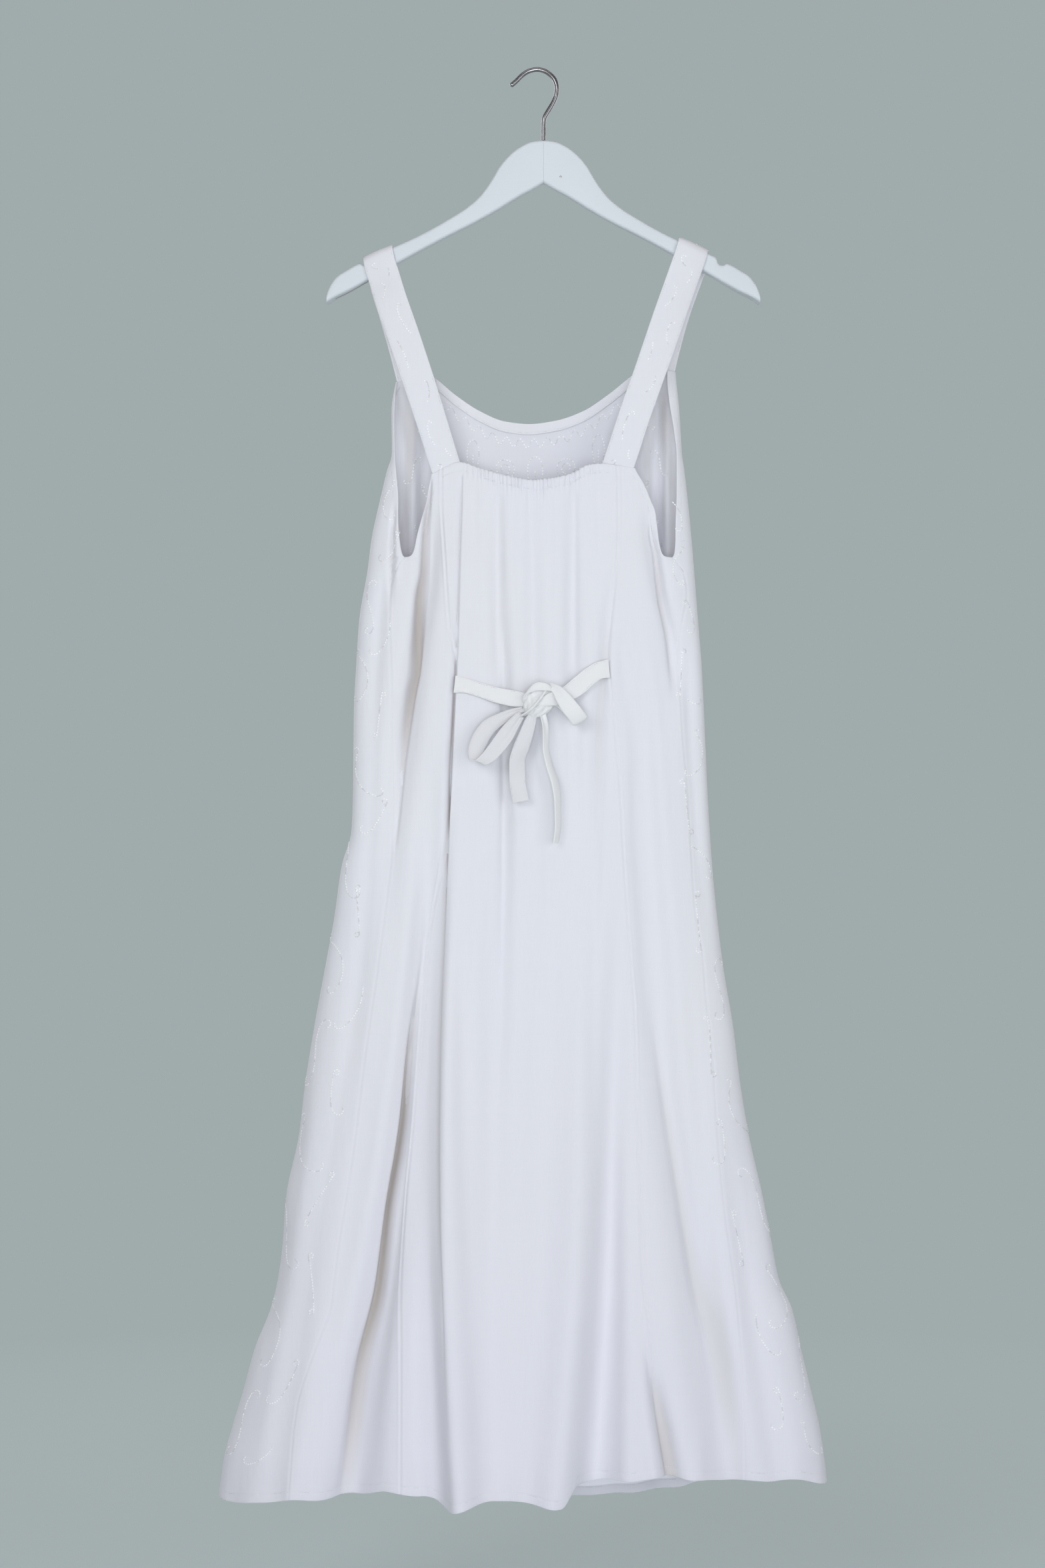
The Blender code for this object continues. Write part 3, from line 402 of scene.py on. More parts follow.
STRAP_RIGHT = (
    (78.8, -13.2, 414, 32.6, -6, 0), (82.3, -13.5, 403.2, 32.6, -7, 0), (86.4, -15, 391, 32.4, -8.4, 0),
    (98, -14.8, 355, 32, -12, 0), (113.2, -12.2, 312, 32, -16, 0), (124, -9, 281, 32.5, -18, 4),
    (135, -4, 249, 33, -20, 8), (148, 2, 212, 33, -22, 11), (154.4, 2.6, 194, 33, -22.3, 11),
    (158.4, 3.6, 181.6, 33, -22.3, 11), (160, 8, 175.4, 33, -22.3, 11),
    (160.9, 14.2, 174, 33, -22.3, 11), (161, 20.2, 175.4, 33, -22.3, 11),
    (160.4, 25.4, 182, 33, -22, 11), (158.4, 26.2, 193, 33, -21, 11), (153, 25.8, 208, 33, -19, 9),
    (141, 23.8, 241, 33.5, -14, 5), (131.6, 21.4, 272, 34.5, -9, 2), (125.2, 17.6, 296.6, 35, -6, 0),
    (121.9, 16, 310, 35.4, -4.4, 0),
)
TIE_LEFT = (
    (-83.6, -30, 626.2, 17.8, 84, 0), (-72, -31.4, 627.8, 14.6, 78, 0), (-57, -33, 632.4, 14.4, 74, 0),
    (-41, -34.6, 637.4, 15.4, 72, 0), (-25, -36, 640.6, 16.4, 74, 0), (-12.3, -37, 642.6, 14, 80, 0),
)
TIE_RIGHT = (
    (72.6, -29.6, 610.4, 18.6, 95, 0), (63, -31.6, 612.2, 17.4, 108, 0),
    (52.4, -33.6, 618.8, 18, 116, 0), (43, -35, 626.8, 18.4, 120, 0), (32.4, -36.2, 634.4, 16.6, 114, 0),
    (19.2, -37, 641.6, 13, 102, 0),
)

# The left loop goes out behind, seen on its inside, and comes back in front
LOOP_LEFT = (
    (-14, -42, 652.6, 8, -60, 0), (-24, -42.6, 655.4, 9.4, -60, 0), (-36, -43.4, 660.8, 12, -52, 0),
    (-48.4, -44.2, 669, 16, -38, 0), (-57.6, -45, 682, 17, -28, 0), (-62.4, -46.6, 695.6, 16, -22, 0),
    (-62.8, -50.4, 703.6, 13.5, -18, 6), (-57.6, -53.6, 705.6, 13, -18, 4),
    (-49.6, -55, 700.4, 14.6, -22, 0), (-41, -54.8, 690.6, 15.6, -29, 0), (-32.4, -53, 679, 16, -38, 0),
    (-24.2, -49.6, 667.4, 13, -48, 0), (-16.6, -45, 657.4, 9, -58, 0),
)
LOOP_RIGHT = (
    (12, -44.5, 627.6, 5, 50, 0), (18.4, -49, 631.6, 9.5, 46, 0), (25.4, -52, 640.6, 14.6, 39, 0),
    (33.6, -52.6, 651.6, 16.8, 33, 0), (40.4, -50.4, 660, 17, 28, 0), (43, -47, 664, 16.8, 26, 0),
    (41, -43.6, 661, 16.5, 28, 0), (33, -41.8, 652, 15, 36, 0), (23, -41.4, 645, 11.5, 44, 0),
    (12, -42, 642, 8, 52, 0),
)
END_LEFT = (
    (-5.4, -44.6, 657, 10, 2, 0), (-9.6, -45.4, 671, 14, 2, 4), (-16, -44.8, 689, 17, 0, 10),
    (-20.4, -43.2, 706, 16.8, 0, 18), (-20, -42.2, 724, 16.6, 2, 10), (-16.8, -41.6, 744.6, 17, 10, 0),
)
END_RIGHT = (
    (5, -43.6, 656, 7, 0, 20), (8.2, -44, 673, 8.6, 0, 44), (8.4, -43.8, 691, 9, 0, 52),
    (12, -43, 708.6, 10.6, 0, 50), (18, -42.2, 727, 11.6, 0, 46), (20.4, -41.8, 746, 10.6, 0, 50),
    (20.6, -41.7, 767, 9.6, 0, 54), (18.2, -41.6, 786.4, 8.4, 0, 52),
)

# The band over the knot, the fold that lies round its top, and the pleats on its right
KNOT_BAND = (
    (10.5, -44, 631.5, 8, 64, 0), (6.6, -50.5, 636, 9, 50, 0), (1.4, -53.4, 643.4, 10, 40, 0),
    (-5, -53.6, 650.4, 11, 32, 0), (-11, -50.4, 655.6, 11, 26, 0), (-14.6, -44.6, 658, 9, 22, 0),
)
KNOT_TOP = (
    (-11.5, -42, 644, 8, 10, 0), (-11, -47.4, 637, 9, 34, 0), (-6, -50.6, 631.4, 9, 70, 0),
    (2, -51.4, 629, 8.6, 92, 0), (10, -50.2, 629.8, 8, 110, 0), (16, -46, 633.6, 7, 130, 0),
)
KNOT_FAN = (
    (-3, -48.4, 649, 7, 96, 0), (3.4, -50.2, 645.4, 9, 96, 0), (10.4, -49.4, 642.6, 12, 100, 0),
    (17.6, -46.4, 641, 14.6, 104, 0), (25, -42.4, 638.6, 16.4, 112, 0),
)

# The knot's core: drop, x, half width, half depth
KNOT_CORE = (
    (630, 3, 9, 3), (632.4, 3, 13, 5.4), (637, 2.6, 15.4, 7.4), (643.6, 2, 16, 8.2), (650, 0.6, 15.4, 8),
    (655, -1, 12.6, 6.4), (658.6, -2.4, 8.4, 4), (660.2, -3, 5, 2),
)
KNOT_Y = -42.6

# Half of the hanger's bar: distance from its middle, top drop, bottom drop
HANGER_MIDDLE = 6.4
HANGER_BAR = (
    (0.2, 71.1, 114.8), (12, 72.6, 121.6), (24, 78, 128), (34, 85.6, 134), (44, 97, 140.2),
    (51, 108.8, 144.2), (57.3, 118.3, 147.8), (64, 126.8, 151.4), (72, 134.3, 155.5), (84, 143, 161.3),
    (98, 151.2, 168), (112, 159, 175), (138.4, 171.6, 188.6), (163, 181.6, 201.4), (172, 185.4, 206.3),
    (176.8, 187.6, 209), (178.4, 192.6, 209.8), (181, 195.2, 211.4), (184.4, 195.4, 213.2),
    (188, 193.6, 215.1), (194, 195.7, 218.3), (202, 200.2, 222.2), (210, 204.8, 225.6), (215, 210, 228),
    (219.5, 217, 230.6), (222.5, 225.4, 232.6),
)
HANGER_HALF_LENGTH = 224
HANGER_BOW = 30
HANGER_THICKNESS = 13
HANGER_FLARE = 12
HANGER_ROUNDING = 3.6
HANGER_JOINT = 0.04
JOINT_CHAMFER = 0.985

# The length of the hook's rounded tip, and the centre line of its wire: x, drop
HOOK_TIP = 1.9
HOOK_PATH = (
    (6.4, 70.6), (6.4, 60), (6.6, 50), (10.6, 41.6), (15.6, 33.4), (19.4, 24), (20.1, 16.4), (18.2, 9.4),
    (13, 3.2), (6.6, -0.6), (0, -1.9), (-7.4, -0.6), (-14.6, 3.4), (-20.8, 9.6), (-27.3, 15.2),
)

# The cloth of the straps and ties, which are sewn double, and shares of their width for what is on them
STRAP_CLOTH = 1.5
STRAP_WIDTH = 33.0
STRAP_STITCH = 0.448
STRAP_MARGIN = 0.44
TIE_CLOTH = 1.3
TIE_STITCH = 0.42

# How far along a ribbon its pleats open out, and how wide the groove of its stitching is, as shares
PLEAT_REACH = 0.13
RIBBON_GROOVE = 0.012
RIBBON_COLUMNS = (0, 0.006, 0.02, 0.045, 0.08)

# Levels at which distances round the sides of the dress are measured, and their plan angles
WRAP_TOP = 380.0
WRAP_STEP = 12.0
WRAP_ANGLES = (-1.5, 1.9, 341)

# Plain machine stitches, embroidery stitches and the points of a curl, by pitch along their line
SEWING_PITCH = 2.6
STITCH_PITCH = 2.9
CURL_PITCH = 0.6
STITCH_SWAY = 0.12

# How far stitches stand off the outside of the cloth, and off the inside of a turned edge
MACHINE_LIFT = 0.02
FLOSS_LIFT = 0.22
TURN_BACKING = 0.25

# The seams stand up a little beside a fine groove, and less at the sides
SEAM_RIDGE = 0.4
SEAM_RIDGE_PLACE = 2.2
SEAM_DIP = 0.3
SEAM_DIP_WIDTH = 1.2
SIDE_SEAM_SHARE = 0.4

# Seam allowances: places across, where the raw edge is, thickness, gap to the cloth and top level
ALLOWANCE_ACROSS = (-9, -8.7, -4.5, -0.4, 0, 0.4, 4.5, 8.7, 9)
ALLOWANCE_RAW = 8
ALLOWANCE_CLOTH = 0.55
ALLOWANCE_GAP = 0.12
ALLOWANCE_TOP = 424

# Bust darts on the sides of the front: x, drop of both ends
DARTS = (((-161, 436), (-143.5, 422.5)), ((139.9, 484.2), (153.4, 477)))

# Embroidered lines: length, then how sharply they turn, in degrees per millimetre, by share of length
MOTIFS = {
    "scroll": (92, ((0, 20), (0.12, 12), (0.24, 2.4), (0.5, 0), (0.76, -2.4), (0.88, -12), (1, -20))),
    "crescent": (78, ((0, -24), (0.1, -22), (0.14, 1.6), (0.8, 2.2), (0.9, 12), (1, 24))),
    "hook": (62, ((0, 24), (0.2, 24), (0.22, 0), (0.62, 0.8), (0.8, 7), (1, 20))),
    "stem": (76, ((0, 26), (0.17, 26), (0.19, 0), (0.81, 0), (0.83, -26), (1, -26))),
    "arc": (46, ((0, 1.8), (0.7, 1.8), (0.8, 8), (1, 22))),
    "curl": (20, ((0, 3), (0.6, 6), (1, 30))),
    "dash": (12, ((0, 4), (1, 4))),
}

# Scrolls down the sides: reach past the outline, drop, heading, motif, size (below 0 is mirrored)
LEFT_SCROLLS = (
    (-16, 418, 96, "crescent", 0.76), (-29, 470, 70, "hook", -0.85), (-16, 520, 118, "scroll", 0.88),
    (-34, 560, 62, "arc", -1.1), (-13, 590, 96, "crescent", -0.98), (-34, 634, 84, "stem", 0.88),
    (-18, 690, 118, "crescent", 1.05), (-33, 742, 62, "hook", -1.05), (-13, 786, 98, "scroll", -1.05),
    (-34, 830, 104, "stem", 0.98), (-20, 880, 112, "crescent", -1.15), (-49, 930, 66, "arc", -1.34),
    (-16, 966, 100, "scroll", 1.12), (-47, 1016, 96, "hook", 1.17), (-24, 1062, 120, "crescent", 1.22),
    (-52, 1118, 64, "stem", -1.1), (-16, 1150, 96, "scroll", -1.22), (-58, 1200, 110, "stem", 1.17),
    (-29, 1250, 114, "crescent", -1.29), (-63, 1306, 74, "hook", -1.22),
    (-24, 1340, 100, "scroll", 1.12), (-56, 1392, 30, "arc", -0.98), (34, 440, 84, "scroll", -0.8),
    (30, 540, 96, "stem", 0.8), (38, 620, 84, "crescent", 0.94), (32, 716, 96, "scroll", -0.96),
    (40, 812, 78, "stem", -0.96), (34, 900, 96, "crescent", -1), (42, 996, 84, "scroll", 1),
    (34, 1092, 98, "hook", 1.1), (44, 1170, 80, "crescent", 1.06), (38, 1270, 98, "scroll", -1),
    (44, 1366, 60, "arc", 0.9),
)
RIGHT_SCROLLS = (
    (-18, 440, 84, "arc", 0.85), (-24, 486, 100, "crescent", -0.73), (-15, 540, 76, "hook", 0.85),
    (-29, 590, 96, "stem", -0.93), (-15, 640, 8, "curl", -1.1), (-16, 672, 104, "crescent", 0.9),
    (-31, 722, 88, "stem", 1.05), (-15, 790, 60, "arc", 1.05), (-31, 836, 92, "stem", -1.17),
    (-18, 904, 80, "scroll", -1.02), (-40, 962, 96, "stem", 1.15), (-18, 1026, 70, "crescent", -1.1),
    (-45, 1066, 98, "hook", 1.17), (-16, 1116, 92, "scroll", 1.15), (-49, 1158, 88, "stem", -1.05),
    (-24, 1214, 104, "crescent", 1.22), (-52, 1262, 70, "arc", -1.22), (-16, 1290, 96, "scroll", -1.1),
    (-56, 1336, 98, "hook", 1.1), (-27, 1372, 60, "crescent", -0.76), (34, 470, 96, "scroll", 0.8),
    (30, 566, 84, "stem", -0.84), (38, 650, 96, "crescent", -0.9), (34, 742, 84, "scroll", 0.94),
    (40, 836, 98, "stem", 0.96), (34, 924, 84, "crescent", 1), (40, 1018, 96, "scroll", -1),
    (36, 1112, 82, "hook", -1.1), (44, 1196, 98, "crescent", -1), (38, 1292, 84, "scroll", 1),
    (46, 1384, 120, "arc", -0.8),
)

# Scrolls of the yoke, on the front below its neckline: x, drop, heading, motif, size
YOKE_SCROLLS = (
    (-118, 340, 80, "crescent", 0.5), (-128, 392, 96, "scroll", -0.5), (-112, 420, 60, "hook", -0.6),
    (-124, 462, 96, "crescent", 0.52), (-98, 470, 84, "scroll", 0.5), (116, 336, 96, "crescent", -0.5),
    (126, 384, 84, "scroll", 0.5), (108, 416, 120, "hook", 0.6), (122, 456, 84, "crescent", -0.52),
    (98, 468, 96, "scroll", -0.5),
)

# The rest of the yoke: a wave (x from, x to, below the neckline, height, length), then its leaves
YOKE_WAVE = (-98, 96, 20, 4.4, 14)
YOKE_LEAVES = ((-2, 19), (-66, 15), (63, 15))
LEAF_DEPTH = 72
LEAF_HEIGHT = 38

# Spirals of the yoke: x, drop of the foot, radius, mirrored
YOKE_SPIRALS = ((-34, 416, 13, False), (31, 415, 13, True))

# Marks on the straps: share of the length from the back, millimetres across, then as for scrolls
STRAP_MARKS = (
    (0.06, -6, 70, "curl", 0.9), (0.1, 7, 110, "dash", -1.1), (0.15, -5, 84, "curl", -1.1),
    (0.2, 6, 60, "curl", 0.8), (0.25, -6, 96, "dash", 1.2), (0.29, 5, 100, "curl", -1.1),
    (0.34, -4, 70, "curl", 0.9), (0.38, 7, 84, "dash", 1.1), (0.42, -6, 110, "curl", -1),
    (0.58, 5, 80, "curl", 1), (0.63, -6, 96, "dash", -1.2), (0.68, 4, 70, "curl", 1.1),
    (0.74, -5, 110, "curl", -0.9), (0.8, 6, 84, "dash", 1), (0.86, -4, 90, "curl", -1),
    (0.92, 5, 100, "curl", 0.9),
)

# The camera, in metres, and the height of what it frames at the dress
CAMERA_X = -0.015
CAMERA_Z = -0.727
CAMERA_DISTANCE = 3.0
FRAME_HEIGHT = 1.5994
SENSOR = 36

# Places in metres where the look of the crepe changes: below the hook, and x squared by the armholes
LOW_CLOTH = (0.85, 1.45)
DUSTY_HEM = (1.40, 1.47)
# LIT_HEM is where the painted glow of the wrong side grows, towards the hem
LIT_HEM = (1.35, 1.44)
# BESIDE_ARMHOLES is where the wrong side gets painted streaks of shade and more painted glow
BESIDE_ARMHOLES = (0.0085, 0.0135)

# Tinges of the crepe low on the skirt and of the painted shade deep in its folds, by red, green and blue
LILAC_TINGE = (0.965, 0.943, 0.975)
PAINTED_FOLD_SHADE = (0.7, 0.65, 0.585)

# A brown strip behind the hanger's left end, as bands along the bar and through it, and a scuff
BROWN_STRIP_LENGTH = ((0.166, 0.171), (0.206, 0.209))
BROWN_STRIP_ACROSS = ((-0.0195, -0.0187), (-0.0168, -0.016))
SCUFF_PLACE = (0.0238, -0.0065, -0.1088)
SCUFF_EDGE = (0.0008, 0.0022)

# The brown of the hook's tarnish
TARNISH = (0.2, 0.175, 0.16)

# The stage, in metres: its floor and backdrop, and where the floor melts into the backdrop
FLOOR_RADIUS = 6.0
BACKDROP_RADIUS = 14.0
FLOOR_MELT = (0.4, 1.9)
LIT_POINT = (0, 0, -0.7)
LAMP_COLOUR = (0.925, 0.957, 1)
ROOM_COLOUR = (1, 0.985, 0.955, 1)

# Softboxes: name, place, width and height, share of the key light's power
LIGHTS = (
    ("key_left", (-1.5, -3.1, 0.4), (1.5, 1.7), 0.5),
    ("key_front", (0.1, -3.8, -1.0), (1.4, 1.8), 0.8),
    ("fill_right", (2.3, -2.8, -0.5), (2.2, 2.4), 0.44),
    ("top_light", (0, -0.9, 2.2), (2.6, 1.6), 0.16),
    ("low_light", (0.1, -2.6, -1.7), (1.8, 0.5), 0.09),
    ("rear_left", (-2.2, 3.0, 0.4), (2.2, 2.4), 0.8),
    ("rear_right", (2.2, 3.0, 0.4), (2.2, 2.4), 0.6),
)

# The cut of each piece of cloth: flat size and area in metres, and how it hangs
Cut = namedtuple("Cut", "piece flat held rests_on area goes_with", defaults=(None, ()))


def smooth(rows, column, at):
    """The value of one column at the given places, on a smooth curve that never overshoots its rows."""
    knots = np.array([row[0] for row in rows], float)
    values = np.array([row[column] for row in rows], float)
    rise = np.diff(values) / np.diff(knots)
    product = rise[1:] * rise[:-1]
    total = np.where(product > 0, rise[1:] + rise[:-1], 1)
    slopes = np.concatenate([rise[:1], np.where(product > 0, 2 * product / total, 0), rise[-1:]])
    at = np.clip(np.asarray(at, float), knots[0], knots[-1])
    low = np.clip(np.searchsorted(knots, at, side="right") - 1, 0, len(knots) - 2)
    span = knots[low + 1] - knots[low]
    t = (at - knots[low]) / span
    return (
        values[low] * (1 + 2 * t) * (1 - t) ** 2
        + values[low + 1] * t * t * (3 - 2 * t)
        + slopes[low] * span * t * (1 - t) ** 2
        - slopes[low + 1] * span * t * t * (1 - t)
    )


def values_at(rows, at, count=None):
    """The smooth values of the columns after a table's first one, or of only so many of them."""
    return [smooth(rows, column, at) for column in range(1, 1 + (count or len(rows[0]) - 1))]


def numbered(rows):
    """Rows with their number in front, for a curve that runs through them in turn."""
    return [(number, *row) for number, row in enumerate(rows)]


def blend(start, end, share):
    return start + (end - start) * share


def step(value):
    """0 below 0, 1 above 1 and a soft rise between them."""
    value = np.clip(value, 0, 1)
    return value * value * (3 - 2 * value)


def bell(value):
    return np.exp(-(value**2))


def body_outline(angle, drop):
    """A point of the plan section: angle 0 at the right edge, a quarter turn on at the viewer's side."""
    left, right, plane, near, far = values_at(BODY, drop)
    sine = np.sin(angle)
    depth = np.where(sine >= 0, -near, far) * np.abs(sine) ** BLUNTNESS
    return blend(left, right, (1 + np.cos(angle)) / 2), plane + depth


def normal_of(curve, angle, drop):
    """The outward plan normal of a closed curve, by a central difference."""
    x0, y0 = curve(angle - ANGLE_STEP, drop)
    x1, y1 = curve(angle + ANGLE_STEP, drop)
    length = np.hypot(x1 - x0, y1 - y0)
    return (y0 - y1) / length, (x1 - x0) / length


def folded_outline(angle, drop):
    """The plan section with its folds."""
    x, y = body_outline(angle, drop)
    sine = np.sin(angle)
    fade = step(np.abs(sine) / FOLD_FADE)
    height = np.zeros_like(x)
    lean = np.zeros_like(x)
    for face, folds in FOLDS.items():
        for rows in folds:
            place, width, size, *leans = values_at(rows, drop)
            share = np.where(sine * face > 0, bell((x - place) / width), 0)
            height = height + size * share
            lean = lean + sum(leans) * share
    across, along = normal_of(body_outline, angle, drop)
    return x + (across * height + lean) * fade, y + along * height * fade


def creased(angle, drop):
    """How far the fine creases and the seams stand out from the folded cloth, in millimetres."""
    x, _ = body_outline(angle, drop)
    sine = np.sin(angle)
    height = np.zeros_like(x)
    for face, creases in CREASES.items():
        for skew, rows in creases:
            place, width, size = values_at(rows, drop)
            away = x - place
            width = width * (1 + skew * np.sign(away))
            height = height + np.where(sine * face > 0, size * bell(away / width), 0)
    height = height * step(np.abs(sine) / CREASE_FADE)
    for seam in SEAMS:
        away = x - smooth(seam, 1, drop)
        dip = SEAM_DIP * bell(away / SEAM_DIP_WIDTH)
        raised = SEAM_RIDGE * bell(np.abs(away) - SEAM_RIDGE_PLACE) - dip
        size = SIDE_SEAM_SHARE if seam in (SIDE_SEAM_LEFT, SIDE_SEAM_RIGHT) else 1
        height = height + np.where((sine > 0) & (drop > seam[0][0]), size * raised, 0)
    return height


def gathered(x, below):
    """The puckers of the gathered back neckline, at a distance below its top edge."""
    start, end = GATHER_SPAN
    place = np.clip((x - start) / (end - start), 0, 1)
    fullness = np.clip(12 * place * (1 - place), 0, 1) * (0.75 + 0.25 * np.sin(31 * place + 2))
    turn = GATHERS * (place + 0.010 * np.sin(19 * place + 1) + 0.005 * np.sin(47 * place))
    reach = np.interp(turn, np.arange(len(GATHER_REACH)), GATHER_REACH)
    pucker = np.abs(np.sin(math.pi * turn)) ** PUCKER_BLUNTNESS - PUCKER_LEVEL
    fade = np.exp(-np.clip(below - CASING_DEPTH, 0, None) / reach)
    return GATHER_HEIGHT * fullness * pucker * fade


def surface(angle, drop):
    """Points of the folded cloth and its outward normals, in millimetres."""
    angle, drop = np.broadcast_arrays(np.asarray(angle, float), np.asarray(drop, float))
    x, y = folded_outline(angle, drop)
    across, along = normal_of(folded_outline, angle, drop)
    points = np.stack([x, y, -drop], axis=-1)
    return points, np.stack([across, along, np.zeros_like(x)], axis=-1)


def full_turn(count):
    """Angles evenly round a circle."""
    return np.linspace(0, 2 * math.pi, count + 1)[:-1]


def lifted(points, normals, lift):
    return points + normals * np.asarray(lift, float)[..., None]


def angle_at(x, drop):
    """The angle of a place on the viewer's side."""
    left, right = values_at(BODY, drop, 2)
    return np.arccos(np.clip((2 * x - left - right) / (right - left), -1, 1))


def edge_angle(rows, drop, inwards):
    """The angle of a panel's edge, moved into the panel by half a seam gap."""
    angle = angle_at(smooth(rows, 1, drop), drop)
    x0, y0 = folded_outline(angle - ANGLE_STEP, drop)
    x1, y1 = folded_outline(angle + ANGLE_STEP, drop)
    speed = np.hypot(x1 - x0, y1 - y0) / (2 * ANGLE_STEP)
    return angle + inwards * SEAM_GAP / 2 / speed


def hem_drop(angle):
    """The drop of the hem, which wanders a little."""
    x, _ = body_outline(angle, np.full_like(angle, HEM_LEVEL))
    wander = HEM_WANDER * (np.sin(x / WANDER_SHORT) + np.sin(x / WANDER_LONG + 1))
    return np.where(np.sin(angle) >= 0, smooth(HEM_NEAR, 1, x), smooth(HEM_FAR, 1, x)) + wander


Panel = namedtuple(
    "Panel", "left right turns top top_level lowered open_left open_right guide knot",
    defaults=(0, False, False, None, 0),
)
FRONT = Panel(
    ARMHOLE_FRONT_LEFT + SIDE_SEAM_LEFT, ARMHOLE_FRONT_RIGHT + SIDE_SEAM_RIGHT, 1,
    FRONT_NECKLINE, FRONT_TOP_LEVEL, open_left=True, open_right=True,
)
BACK_LEFT = Panel(
    ARMHOLE_BACK_LEFT + SIDE_SEAM_LEFT, BACK_SEAM_LEFT, 0,
    BACK_NECKLINE, BACK_TOP_LEVEL, open_left=True, guide=LEFT_VALLEY, knot=0.5,
)
BACK_RIGHT = Panel(
    BACK_SEAM_RIGHT, ARMHOLE_BACK_RIGHT + SIDE_SEAM_RIGHT, 0,
    BACK_NECKLINE, BACK_TOP_LEVEL, open_right=True, guide=RIGHT_VALLEY, knot=0.5,
)
BACK_CENTRE = Panel(
    BACK_SEAM_LEFT, BACK_SEAM_RIGHT, 0,
    BACK_NECKLINE, BACK_TOP_LEVEL, lowered=CASING_DEPTH, guide=GROOVE, knot=0.2,
)
SEAMS = (SIDE_SEAM_LEFT, SIDE_SEAM_RIGHT, BACK_SEAM_LEFT, BACK_SEAM_RIGHT)


def panel_angle(panel, share, drop):
    """The angle at a share of the way across a panel, from its left edge to its right edge."""
    inwards = 1 if panel.turns else -1
    left = edge_angle(panel.left, drop, inwards)
    right = edge_angle(panel.right, drop, -inwards) + 2 * math.pi * panel.turns
    if panel.guide:
        middle = angle_at(smooth(panel.guide, 1, drop), drop)
        centre = np.clip((middle - left) / (right - left), GUIDE_MARGIN, 1 - GUIDE_MARGIN)
        before = share / panel.knot * centre
        after = centre + (share - panel.knot) / (1 - panel.knot) * (1 - centre)
        share = np.where(share < panel.knot, before, after)
    return blend(left, right, share)


def top_drop(panel, share):
    """The drop of a panel's top edge, found in a few steps because the edge angles change with it."""
    level = np.full_like(share, panel.top_level)
    for _ in range(TOP_STEPS):
        x, _ = body_outline(panel_angle(panel, share, level), level)
        level = smooth(panel.top, 1, x)
    return level


def crowded(count, start, end):
    """Shares from 0 to 1: the given close ones at the start and at the end, and even ones between."""
    even = np.linspace(start[-1], 1 - end[-1], count + 1)
    return np.concatenate([start[:-1], even, 1 - np.array(end[:-1])[::-1]])


def panel_grid(panel, share, bodice, skirt):
    """Angles and drops of a panel's grid, with the same levels below the armholes on every panel."""
    top = top_drop(panel, share) + panel.lowered
    hem = hem_drop(panel_angle(panel, share, np.full_like(share, HEM_LEVEL)))
    upper = blend(top, ARMHOLE_BOTTOM, bodice[:-1, None])
    lower = blend(float(ARMHOLE_BOTTOM), hem, skirt[:, None])
    drop = np.concatenate([upper, lower])
    return panel_angle(panel, np.broadcast_to(share, drop.shape), drop), drop, top, hem


def link(name, mesh):
    """A new object of the scene, from its mesh."""
    made = bpy.data.objects.new(name, mesh)
    bpy.context.collection.objects.link(made)
    return made


def solid_mesh(name, points, faces, looks, sharp, slots=None, hollow=None):
    """A closed mesh from points in millimetres. hollow is 1 deep in a fold, for the cloth's painted shade.
    """
    mesh = bpy.data.meshes.new(name)
    mesh.from_pydata((np.asarray(points) * MM).tolist(), [], faces)
    for look in looks:
        mesh.materials.append(look)
    if slots is not None:
        mesh.polygons.foreach_set("material_index", np.asarray(slots, np.int32))
    shape = bmesh.new()
    shape.from_mesh(mesh)
    bmesh.ops.recalc_face_normals(shape, faces=shape.faces)
    shape.to_mesh(mesh)
    shape.free()
    if hollow is not None:
        mesh.attributes.new("hollow", "FLOAT", "POINT").data.foreach_set("value", hollow.astype(np.float32))
    mesh.shade_smooth()
    mesh.set_sharp_from_angle(angle=math.radians(sharp))
    return mesh


def shell(name, surface_grid, outer, inner, looks, inner_slots=None, hollow=None):
    """A cloth shell between two lifts from a grid of points and normals.

    inner_slots gives the material of each inner face.
    """
    outside = lifted(*surface_grid, outer)
    inside = lifted(*surface_grid, inner)
    rows, columns, _ = outside.shape
    count = rows * columns
    index = np.arange(count).reshape(rows, columns)
    corners = np.stack([index[:-1, :-1], index[:-1, 1:], index[1:, 1:], index[1:, :-1]], axis=-1)
    corners = corners.reshape(-1, 4)
    grid = outside.reshape(-1, 3)
    spans = [np.linalg.norm(grid[corners[:, one]] - grid[corners[:, one + 2]], axis=1) for one in (0, 1)]
    first_is_shorter = (spans[0] <= spans[1])[:, None]
    halves = np.where(first_is_shorter, corners[:, (0, 1, 2, 0, 2, 3)], corners[:, (1, 2, 3, 1, 3, 0)])
    halves = halves.reshape(-1, 3)
    rim = np.concatenate([index[0], index[1:, -1], index[-1, -2::-1], index[-2:0:-1, 0]])
    after = np.roll(rim, -1)
    sides = np.stack([after, rim, rim + count, after + count], axis=-1)
    faces = halves.tolist() + (halves[:, ::-1] + count).tolist() + sides.tolist()
    inner_slots = np.ones(len(corners), int) if inner_slots is None else inner_slots.reshape(-1)
    inner_slots = np.repeat(np.minimum(inner_slots, len(looks) - 1), 2)
    slots = np.concatenate([np.zeros(len(halves), int), inner_slots, np.zeros(len(sides), int)])
    points = np.concatenate([grid, inside.reshape(-1, 3)])
    return solid_mesh(name, points, faces, looks, CLOTH_SHARP, slots, hollow)


def run_lengths(points):
    """The distance along each row of a grid, from its first column."""
    steps = np.linalg.norm(np.diff(points, axis=1), axis=-1)
    return np.concatenate([np.zeros((len(points), 1)), np.cumsum(steps, axis=1)], axis=1)


